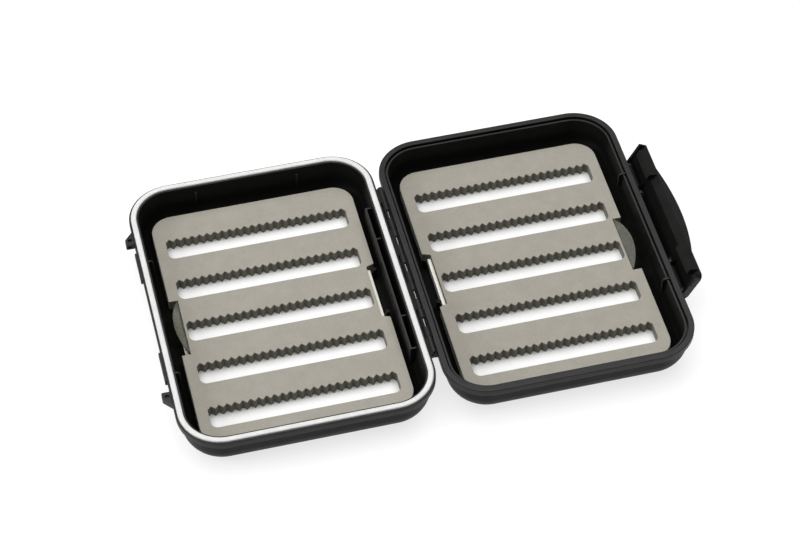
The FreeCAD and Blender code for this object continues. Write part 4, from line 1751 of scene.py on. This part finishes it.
@dataclass
class Studio:
    """Pale floor, soft light and the camera."""

    focal: float = 115.686
    sensor: float = 36.0
    clip: Point2 = (0.01, 60.0)
    azimuth: float = 13.49
    elevation: float = 48.60
    roll: float = -0.45
    target: Point3 = (47.98, 14.82, 0.0)
    distance: float = 939.61
    floor_half: float = 6.0
    floor_drop: float = 0.02
    floor_drift: float = 90.0
    floor_dark: Colour = (0.30, 0.30, 0.30)
    floor_light: Colour = (0.31, 0.31, 0.31)
    floor_glow: float = 0.76
    sky: float = 0.08
    lamps: tuple[Lamp, ...] = (Lamp("ceiling", (0.05, 0.2, 1.3), 1.8, 27.8),
                               Lamp("left", (-1.3, 0.1, 0.75), 0.7, 9.0))

    def camera(self) -> None:
        """Aim the camera as the photograph was taken."""
        az, el, roll = (math.radians(v) for v in (self.azimuth, self.elevation, self.roll))
        ahead = Vector((math.sin(az) * math.cos(el), math.cos(az) * math.cos(el), -math.sin(el)))
        level = ahead.cross(Vector((0, 0, 1))).normalized()
        upright = level.cross(ahead)
        right = level * math.cos(roll) + upright * math.sin(roll)
        up = upright * math.cos(roll) - level * math.sin(roll)
        data = bpy.data.cameras.new("camera")
        data.lens, data.sensor_width = self.focal, self.sensor
        data.clip_start, data.clip_end = self.clip
        obj = bpy.data.objects.new("camera", data)
        turn = Matrix((right, up, -ahead)).transposed().to_4x4()
        obj.matrix_world = Matrix.Translation((Vector(self.target) - ahead * self.distance) * MM) @ turn
        bpy.context.scene.collection.objects.link(obj)
        bpy.context.scene.camera = obj

    def seen(self, shader: ShaderTree) -> Socket:
        """1 for camera, glossy and transmission rays, else 0.

        Args:
            shader: The material that asks.

        Returns:
            The socket of the answer.
        """
        path = shader.add("LightPath").outputs
        total = path["Is Camera Ray"]
        for name in ("Is Glossy Ray", "Is Transmission Ray"):
            total = shader.calc("MAXIMUM", total, path[name])
        return total

    def floor(self) -> None:
        """Pale floor that shows white and keeps the shadow."""
        half, z = self.floor_half, -self.floor_drop * MM
        mesh = bpy.data.meshes.new("floor")
        corners = [(-half, -half, z), (half, -half, z), (half, half, z), (-half, half, z)]
        mesh.from_pydata(corners, [], [(0, 1, 2, 3)])
        shader = ShaderTree("floor_pale")
        colour = shader.blend(shader.noise(self.floor_drift, 2.0), self.floor_dark, self.floor_light)
        shader.set(Base_Color=colour, Roughness=0.9, Specular_IOR_Level=0.1)
        strength = shader.calc("MULTIPLY", self.seen(shader), self.floor_glow)
        glow = shader.add("Emission", {}, {"Strength": strength}).outputs[0]
        both = shader.add("AddShader", {}, {0: shader.surface.outputs[0], 1: glow}).outputs[0]
        shader.tree.links.new(both, shader.tree.nodes["Material Output"].inputs["Surface"])
        mesh.materials.append(shader.material)
        obj = bpy.data.objects.new("floor", mesh)
        bpy.context.scene.collection.objects.link(obj)

    def backdrop(self) -> None:
        """Dim even sky that the camera sees as white."""
        world = bpy.data.worlds.new("studio")
        world.use_nodes = True
        tree = world.node_tree
        back = tree.nodes["Background"]
        back.inputs["Color"].default_value = (1.0, 1.0, 1.0, 1.0)
        level = tree.nodes.new("ShaderNodeMapRange")
        level.inputs["To Min"].default_value = self.sky
        level.inputs["To Max"].default_value = 1.0
        path = tree.nodes.new("ShaderNodeLightPath").outputs
        tree.links.new(path["Is Camera Ray"], level.inputs["Value"])
        tree.links.new(level.outputs[0], back.inputs["Strength"])
        bpy.context.scene.world = world

    def build(self) -> None:
        """Set the whole stage."""
        self.camera()
        self.floor()
        self.backdrop()
        for lamp in self.lamps:
            lamp.build()
        bpy.context.scene.view_settings.view_transform = "Standard"
        LOG.info("stage set")


def main() -> None:
    """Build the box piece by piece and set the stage."""
    logging.basicConfig(level=logging.INFO, format="%(message)s")
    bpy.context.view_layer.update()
    case = Case()
    finishes = Finishes()
    sweep, row, sheet = rim_sweep_tree(), row_tree(), slotted_sheet_tree()
    BaseTray(case, sweep, row, finishes.case, finishes.walls).build()
    LidTray(case, sweep, row, finishes.case, finishes.walls).build()
    Gasket(case, sweep, finishes.gasket).build()
    LatchLever(case, finishes.latch, finishes.walls).build()
    for side in Side:
        insert = Insert(case, side, sheet, finishes)
        insert.build_plate()
        insert.build_foam()
        insert.build_tab()
    dress_pins(finishes)
    Studio().build()


if __name__ == "__main__":
    main()
